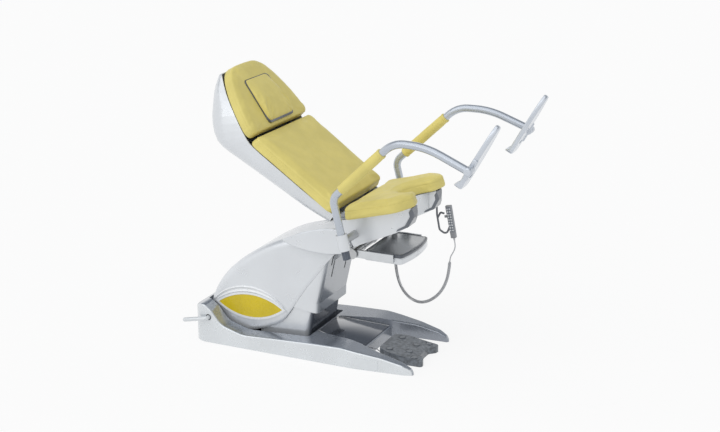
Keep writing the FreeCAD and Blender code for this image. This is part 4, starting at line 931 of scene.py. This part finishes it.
def filled(name, node_name, voxel, crown):
    """A cover over the node's form: drawn in, remeshed, and filled by cloth pressure, with its underside held."""
    pads = setting("pads")
    piece = copied(NODES[node_name], name)
    place = pad_place(node_name)
    piece.data.transform(place.inverted())
    facing_out(piece)
    bpy.ops.object.mode_set(mode="EDIT")
    bpy.ops.mesh.select_all(action="SELECT")
    bpy.ops.transform.shrink_fatten(value=-pads.slack)
    bpy.ops.object.mode_set(mode="OBJECT")
    low = min(vertex.co.z for vertex in piece.data.vertices)
    for vertex in piece.data.vertices:
        if vertex.co.z < low + 0.002:
            vertex.co.z -= pads.slack
    modified(piece, "REMESH", mode="VOXEL", voxel_size=voxel, use_smooth_shade=True)
    modified(piece, "SMOOTH", factor=0.5, iterations=4)
    start = [vertex.co.copy() for vertex in piece.data.vertices]
    held = piece.vertex_groups.new(name="held")
    for vertex in piece.data.vertices:
        if vertex.co.z < low + HELD_BAND:
            held.add([vertex.index], 1.0, "REPLACE")
    only(piece)
    cloth = piece.modifiers.new("Cloth", "CLOTH")
    cloth.settings.use_pressure = True
    cloth.settings.uniform_pressure_force = pads.pressure
    cloth.settings.effector_weights.gravity = 0
    cloth.settings.vertex_group_mass = "held"
    cloth.settings.quality = 4
    cloth.collision_settings.use_collision = False
    scene = bpy.context.scene
    cloth.point_cache.frame_start = 1
    cloth.point_cache.frame_end = pads.frames
    for number in range(1, pads.frames + 1):
        scene.frame_set(number)
    bpy.ops.object.modifier_apply(modifier=cloth.name)
    scene.frame_set(1)
    for vertex, old in zip(piece.data.vertices, start):
        move = vertex.co - old
        if move.length > crown:
            vertex.co = old + move * (crown / move.length)
    piece.vertex_groups.clear()
    modified(piece, "SMOOTH", factor=0.5, iterations=3)
    rounded_off(piece, 1)
    return piece, place


def sewn(piece, depth, width, away):
    """Presses a seam into the cover where the distance function is near nought."""
    normals = [vertex.normal.copy() for vertex in piece.data.vertices]
    for vertex, normal in zip(piece.data.vertices, normals):
        off = away(vertex.co)
        vertex.co -= normal * depth * math.exp(-(off / width) ** 2)


def lengthened(piece, end, reach):
    """Draws the cover's end along the pad; end is 1 at the pad's foot and -1 at its head."""
    most = max(end * vertex.co.x for vertex in piece.data.vertices)
    for vertex in piece.data.vertices:
        share = max(0.0, 1 - (most - end * vertex.co.x) / END_BAND)
        vertex.co.x += end * reach * share ** 2 * (3 - 2 * share)


def pillow_shadow_welt():
    """A dark welt under the pillow, a little wider than it: painted shade for the shadowed gap round its foot."""
    piece = copied(NODES["head_pillow"], "pillow_shadow_welt")
    place = pad_place("head_pillow")
    piece.data.transform(place.inverted())
    low = min(vertex.co.z for vertex in piece.data.vertices)
    middle = sum((Vector(corner) for corner in piece.bound_box), Vector()) / 8
    for vertex in piece.data.vertices:
        vertex.co.z = min(vertex.co.z, low + SHADOW_WELT_HEIGHT)
        vertex.co.x = middle.x + (vertex.co.x - middle.x) * SHADOW_WELT_GROWTH
        vertex.co.y = middle.y + (vertex.co.y - middle.y) * SHADOW_WELT_GROWTH
    handed_over(turned(facing_out(piece), place), "pillow", FINISH["trim"], "dark_trim")


class CHAIR_OT_upholstery(ChairStep, bpy.types.Operator):
    """Fills the seat, back and head pads and the pillow"""
    bl_idname = "chair.upholstery"
    bl_label = "Upholstery"

    def make(self, finishes):
        pads = setting("pads")
        skin = FINISH["skin"]
        for name, node_name, body, voxel, crown, seam_at in (
                ("seat_cushion", "seat_pad", "seat", pads.voxel * 0.85, pads.crown, 0.040),
                ("back_cushion", "back_pad", "back", pads.voxel, pads.crown, 0.036),
                ("head_cushion", "head_pad", "back", pads.voxel * 0.85, pads.crown * 0.6, 0.036),
                ("head_pillow_cover", "head_pillow", "pillow", pads.voxel * 0.6, pads.crown * 0.8, None)):
            piece, place = filled(name, node_name, voxel, crown)
            if seam_at is not None:
                sewn(piece, pads.seam, SEAM_WIDTH, lambda co: co.z - seam_at)
            if name in END_REACH:
                lengthened(piece, *END_REACH[name])
            piece.data.transform(place)
            bpy.ops.object.shade_smooth()
            handed_over(piece, body, skin, "upholstery", node_name)
        # The dark welt is painted shade along the pillow's foot.
        pillow_shadow_welt()


LEG_SIDE, LEG_SPLAY = 0.375, 0.0865
LEG_BENDS = ((0.031, 0.891), (0.352, 1.1993), (0.520, 1.199))
FOOT_END = (0.728, 1.1167)
FOOT_PLACE, FOOT_TILT, FOOT_SIDE = (0.675, 0.347, 1.008), -60.6, 0.347


def leg_place(x, z):
    return Vector((x, LEG_SIDE + LEG_SPLAY * (x - LEG_BENDS[0][0]), z))


CLAMP_END = (0.0930, 0.6468)
TUBE_RADIUS = 0.019
TUBE_SIDES = 40
ARC_STEP = math.radians(4)
BEND_RADII = (0.060, 0.150, 0.400)


def rounded_way(corners, radii, step):
    """The corners' line with each inner corner turned into an arc, as points."""
    way = [corners[0]]
    for before, corner, after, radius in zip(corners, corners[1:], corners[2:], radii):
        into, out = (corner - before).normalized(), (after - corner).normalized()
        turn = into.angle(out)
        reach = radius * math.tan(turn / 2)
        middle = corner + (out - into).normalized() * (radius / math.cos(turn / 2))
        first = corner - into * reach - middle
        axis = first.cross(into)
        count = max(2, round(turn / step))
        way += [middle + Matrix.Rotation(turn * i / count, 3, axis) @ first for i in range(count + 1)]
    return way + [corners[-1]]


def leg_tube():
    """The left bent tube, with the eye at its end."""
    foot = Vector((CLAMP_END[0], LEG_SIDE, CLAMP_END[1]))
    corners = [foot] + [leg_place(*bend) for bend in LEG_BENDS] + [leg_place(*FOOT_END)]
    way = rounded_way(corners, BEND_RADII, ARC_STEP)
    loops = []
    for i, place in enumerate(way):
        along = (way[min(i + 1, len(way) - 1)] - way[max(i - 1, 0)]).normalized()
        side = along.cross(Vector((0, 1, 0))).normalized()
        up = side.cross(along)
        angles = [2 * math.pi * n / TUBE_SIDES for n in range(TUBE_SIDES)]
        loops.append([place + (side * math.cos(angle) + up * math.sin(angle)) * TUBE_RADIUS for angle in angles])
    tube = facing_out(skinned("leg_support_tube", loops))
    end = corners[-1]
    eye = round_bar("eye", (end.x, end.y - 0.025, end.z), (end.x, end.y + 0.0138, end.z), 0.020, 0.003, 48)
    return as_one([tube, eye], "leg_support_tube_left")


def knee_sleeve():
    """The left padded sleeve: a foam tube with a sewn collar at each end."""
    first, second = (leg_place(*bend) for bend in LEG_BENDS[:2])
    run = (second - first).normalized()
    start = first + run * 0.066
    length = 0.300
    half = [(0.0, 0.0200), (0.0003, 0.0232), (0.0018, 0.0249), (0.0045, 0.0255), (0.0110, 0.0255), (0.0140, 0.0249),
            (0.0158, 0.0232), (0.0176, 0.0238), (0.0230, 0.0245), (0.040, 0.0249), (0.080, 0.0251), (0.120, 0.0252)]
    profile = half + [(length / 2, 0.0253)] + [(length - along, radius) for along, radius in reversed(half)]
    piece = revolved("knee_sleeve_pad_left", start, start + run * length, profile)
    side = run.cross(Vector((0, 1, 0))).normalized()
    out = run.cross(side)
    for vertex in piece.data.vertices:
        off = vertex.co - start
        along = off.dot(run)
        flat = off - run * along
        if 0.02 < along < length - 0.02:
            angle = math.atan2(flat.dot(out), flat.dot(side))
            seam = math.exp(-((abs(angle) - 2.2) / 0.09) ** 2) * 0.0011
            soft = 0.0005 * math.sin(along * 58 + 1.3 * math.sin(2 * angle)) * math.sin(angle + along * 9)
            vertex.co -= flat.normalized() * (seam + soft)
    return rounded_off(piece, 1)


def foot_plate():
    """The left foot plate: a dished leaf with a raised rim, a heel shelf, a slot, and its hub."""
    stations = ((0.0, 0.018), (0.003, 0.036), (0.014, 0.0455), (0.05, 0.0505), (0.11, 0.0525), (0.17, 0.0515),
                (0.225, 0.0465), (0.275, 0.0385), (0.312, 0.029), (0.335, 0.018), (0.3445, 0.008))
    outline = leaf(stations, 3)
    centre = 0.165

    def level(inset, height, heel):
        loop = []
        for x, y in outline:
            px = centre + (x - centre) * (1 - inset / 0.175)
            py = y * (1 - inset / 0.0525)
            rise = heel * max(0.0, 1 - px / 0.038) ** 1.5
            loop.append(Vector((px, py, height + rise)))
        return loop

    loops = [level(0.030, 0.0015, 0), level(0.010, 0.0, 0), level(0.003, 0.0015, 0), level(0.0, 0.006, 0),
             level(0.0, 0.0185, 0.020), level(0.0015, 0.0225, 0.0235), level(0.0045, 0.024, 0.0235),
             level(0.0085, 0.022, 0.022), level(0.0115, 0.0165, 0.015), level(0.017, 0.0115, 0.004),
             level(0.028, 0.0098, 0), level(0.042, 0.0094, 0)]
    plate = rounded_off(facing_out(skinned("foot_rest_plate", loops), 60), 1)
    slot = round_bar("slot", (0.072, 0, -0.01), (0.072, 0, 0.05), 0.0135)
    turned(slot, Matrix.Translation((0.072, 0, 0)) @ Matrix.Diagonal((0.8, 1.25, 1, 1))
           @ Matrix.Translation((-0.072, 0, 0)))
    modified(plate, "BOOLEAN", operation="DIFFERENCE", object=slot, solver="EXACT")
    bpy.data.objects.remove(slot)
    facing_out(plate, 45)
    rib = block("foot_rest_rib", (0.062, 0.172), (0.041, 0.0575), (-0.004, 0.0235), 0.006, 4)
    plate = turned(as_one([plate, rib], "foot_rest_plate"), tilted(FOOT_PLACE, FOOT_TILT))
    end = leg_place(*FOOT_END)
    face = end.y - 0.0253
    hub = round_bar("foot_rest_hub", (end.x, FOOT_SIDE + 0.049, end.z), (end.x, face, end.z), 0.0200, 0.0035)
    pin = round_bar("foot_rest_pin", (end.x, FOOT_SIDE + 0.049, end.z), (end.x, end.y + 0.0110, end.z), 0.0100, 0.001)
    return as_one([plate, hub, pin], "foot_rest_left_plate")


def hub_cap():
    """The disc that closes the tube's end on its outer side."""
    end = leg_place(*FOOT_END)
    return revolved("hub_cap_left", (end.x, end.y + 0.0130, end.z), (end.x, end.y + 0.0190, end.z),
                    ((0.0, 0.004), (0.0, 0.0178), (0.0028, 0.0178), (0.0046, 0.0162), (0.0055, 0.013), (0.0058, 0.004)),
                    40)


class CHAIR_OT_leg_supports(ChairStep, bpy.types.Operator):
    """Makes the leg supports' padded sleeves and foot plates, and finishes clamps, knobs and tubes"""
    bl_idname = "chair.leg_supports"
    bl_label = "Leg supports"

    def make(self, finishes):
        for _, side in SIDES:
            dressed(FINISH["cover"], "leg_clamp_" + side)
            dressed(FINISH["rubber"], "clamp_knob_" + side)
        for piece, name, body, finish, slot, node_name in (
                (leg_tube(), "leg_support_tube_", "leg_", "tube", "tube_lacquer", "leg_tube_"),
                (knee_sleeve(), "knee_sleeve_pad_", "leg_", "skin", "upholstery", "knee_sleeve_"),
                (foot_plate(), "foot_rest_plate_", "foot_rest_", "foot_rest", "foot_rest_shell", "foot_plate_"),
                (hub_cap(), "hub_cap_", "leg_", "foot_rest", "foot_rest_shell", None)):
            piece.name = name + "left"
            for side, made in (("left", piece), ("right", across(piece, name + "right"))):
                handed_over(made, body + side, FINISH[finish], slot, *([node_name + side] if node_name else []))


HANDSET_PLACE = ((0.393, HANDSET_SIDE, 0.746), -11.4)
KEY_ROWS = 9
KEY_PITCH = 0.0137
KEY_COLUMN = 0.0062
KEY_TOP = -0.0185
KEY_FACE = -0.0114


class CHAIR_OT_handset(ChairStep, bpy.types.Operator):
    """Makes the handset with its two columns of keys, and finishes its hook"""
    bl_idname = "chair.handset"
    bl_label = "Handset"

    def make(self, finishes):
        place = tilted(*HANDSET_PLACE)
        side = HANDSET_SIDE
        at = Matrix.Translation((0, -side, 0))
        shell = block("handset_shell", (-0.016, 0.016), (side - 0.010, side + 0.010), (-0.170, 0.0), 0.0045, 4)
        for vertex in shell.data.vertices:
            low = max(0.0, min(1.0, (-vertex.co.z - 0.10) / 0.07))
            vertex.co.x *= 1 - 0.14 * low * low
        lug = block("handset_lug", (-0.030, -0.014), (side - 0.005, side + 0.005), (-0.062, -0.050), 0.0015)
        shell = turned(as_one([shell, lug], "handset_shell"), place @ at)
        handed_over(shell, "seat", FINISH["handset"], "handset_plastic", "handset_body")
        pad = block("handset_pad", (-0.0122, 0.0122), (side - 0.0112, side - 0.0096), (-0.137, -0.0095), 0.0007, 2)
        handed_over(turned(pad, place @ at), "seat", FINISH["rubber"], "keypad_membrane", "handset_keypad")
        key = block("key", (-0.0042, 0.0042), (-0.0014, 0.0010), (-0.0046, 0.0046), 0.0009, 2)
        keys = []
        for row in range(KEY_ROWS):
            for column in (-1, 1):
                spot = (column * KEY_COLUMN, side + KEY_FACE, KEY_TOP - row * KEY_PITCH)
                keys.append(turned(copied(key, "key_%d_%d" % (row, column)), Matrix.Translation(spot)))
        bpy.data.objects.remove(key)
        handed_over(turned(as_one(keys, "handset_keys"), place @ at), "seat", FINISH["keys"], "keypad_membrane")
        dressed(FINISH["hook"], "handset_bracket")


PEDAL = {"rear": 0.158, "front": 0.398, "side": -0.015, "top": 0.062, "fall": 0.030}
BUTTONS = ((0.207, -0.080), (0.207, 0.080), (0.300, -0.046), (0.300, 0.046), (0.348, -0.098), (0.348, 0.098))


class CHAIR_OT_foot_control(ChairStep, bpy.types.Operator):
    """Finishes the foot control and its buttons, and draws an oval ring round each"""
    bl_idname = "chair.foot_control"
    bl_label = "Foot control"

    def make(self, finishes):
        dressed(FINISH["control"], "foot_control_housing", *("foot_button_%d" % number for number in range(1, 7)))
        slope = PEDAL["fall"] / (PEDAL["front"] - PEDAL["rear"])
        bpy.ops.mesh.primitive_torus_add(major_radius=0.0185, minor_radius=0.0016, major_segments=40,
                                         minor_segments=8)
        ring = added("ring")
        rings = []
        for x, y in BUTTONS:
            height = PEDAL["top"] - slope * (x - PEDAL["rear"])
            place = Matrix.Translation((x, y + PEDAL["side"], height + 0.0002)) @ Matrix.Rotation(
                math.atan(slope), 4, "Y") @ Matrix.Diagonal((1, 1, 0.7, 1))
            rings.append(turned(copied(ring, "button_ring"), place))
        bpy.data.objects.remove(ring)
        handed_over(facing_out(as_one(rings, "button_rings")), "base", FINISH["trim"], "control_plastic")


STEPS = (CHAIR_OT_stage, CHAIR_OT_cords, CHAIR_OT_covers, CHAIR_OT_works, CHAIR_OT_tray, CHAIR_OT_upholstery,
         CHAIR_OT_leg_supports, CHAIR_OT_handset, CHAIR_OT_foot_control)
GROUPS = {"finishes": CHAIR_PG_finishes, "pads": CHAIR_PG_pads, "cords": CHAIR_PG_cords, "stage": CHAIR_PG_stage}


class CHAIR_PT_panel(bpy.types.Panel):
    """The chair's settings and steps"""
    bl_label = "Examination chair"
    bl_idname = "CHAIR_PT_panel"
    bl_space_type = "VIEW_3D"
    bl_region_type = "UI"
    bl_category = "Chair"

    def draw(self, context):
        for group, kind in GROUPS.items():
            box = self.layout.box()
            box.label(text=kind.__doc__)
            for name in kind.__annotations__:
                box.prop(setting(group), name)
        for step in STEPS:
            self.layout.operator(step.bl_idname)


def register():
    for kind in (*GROUPS.values(), *STEPS, CHAIR_PT_panel):
        bpy.utils.register_class(kind)
    for group, kind in GROUPS.items():
        setattr(bpy.types.Scene, "chair_" + group, bpy.props.PointerProperty(type=kind))


def unregister():
    for group in GROUPS:
        delattr(bpy.types.Scene, "chair_" + group)
    for kind in reversed((*GROUPS.values(), *STEPS, CHAIR_PT_panel)):
        bpy.utils.unregister_class(kind)


def main():
    register()
    for step in STEPS:
        area, name = step.bl_idname.split(".")
        getattr(getattr(bpy.ops, area), name)()


if __name__ == "__main__":
    main()
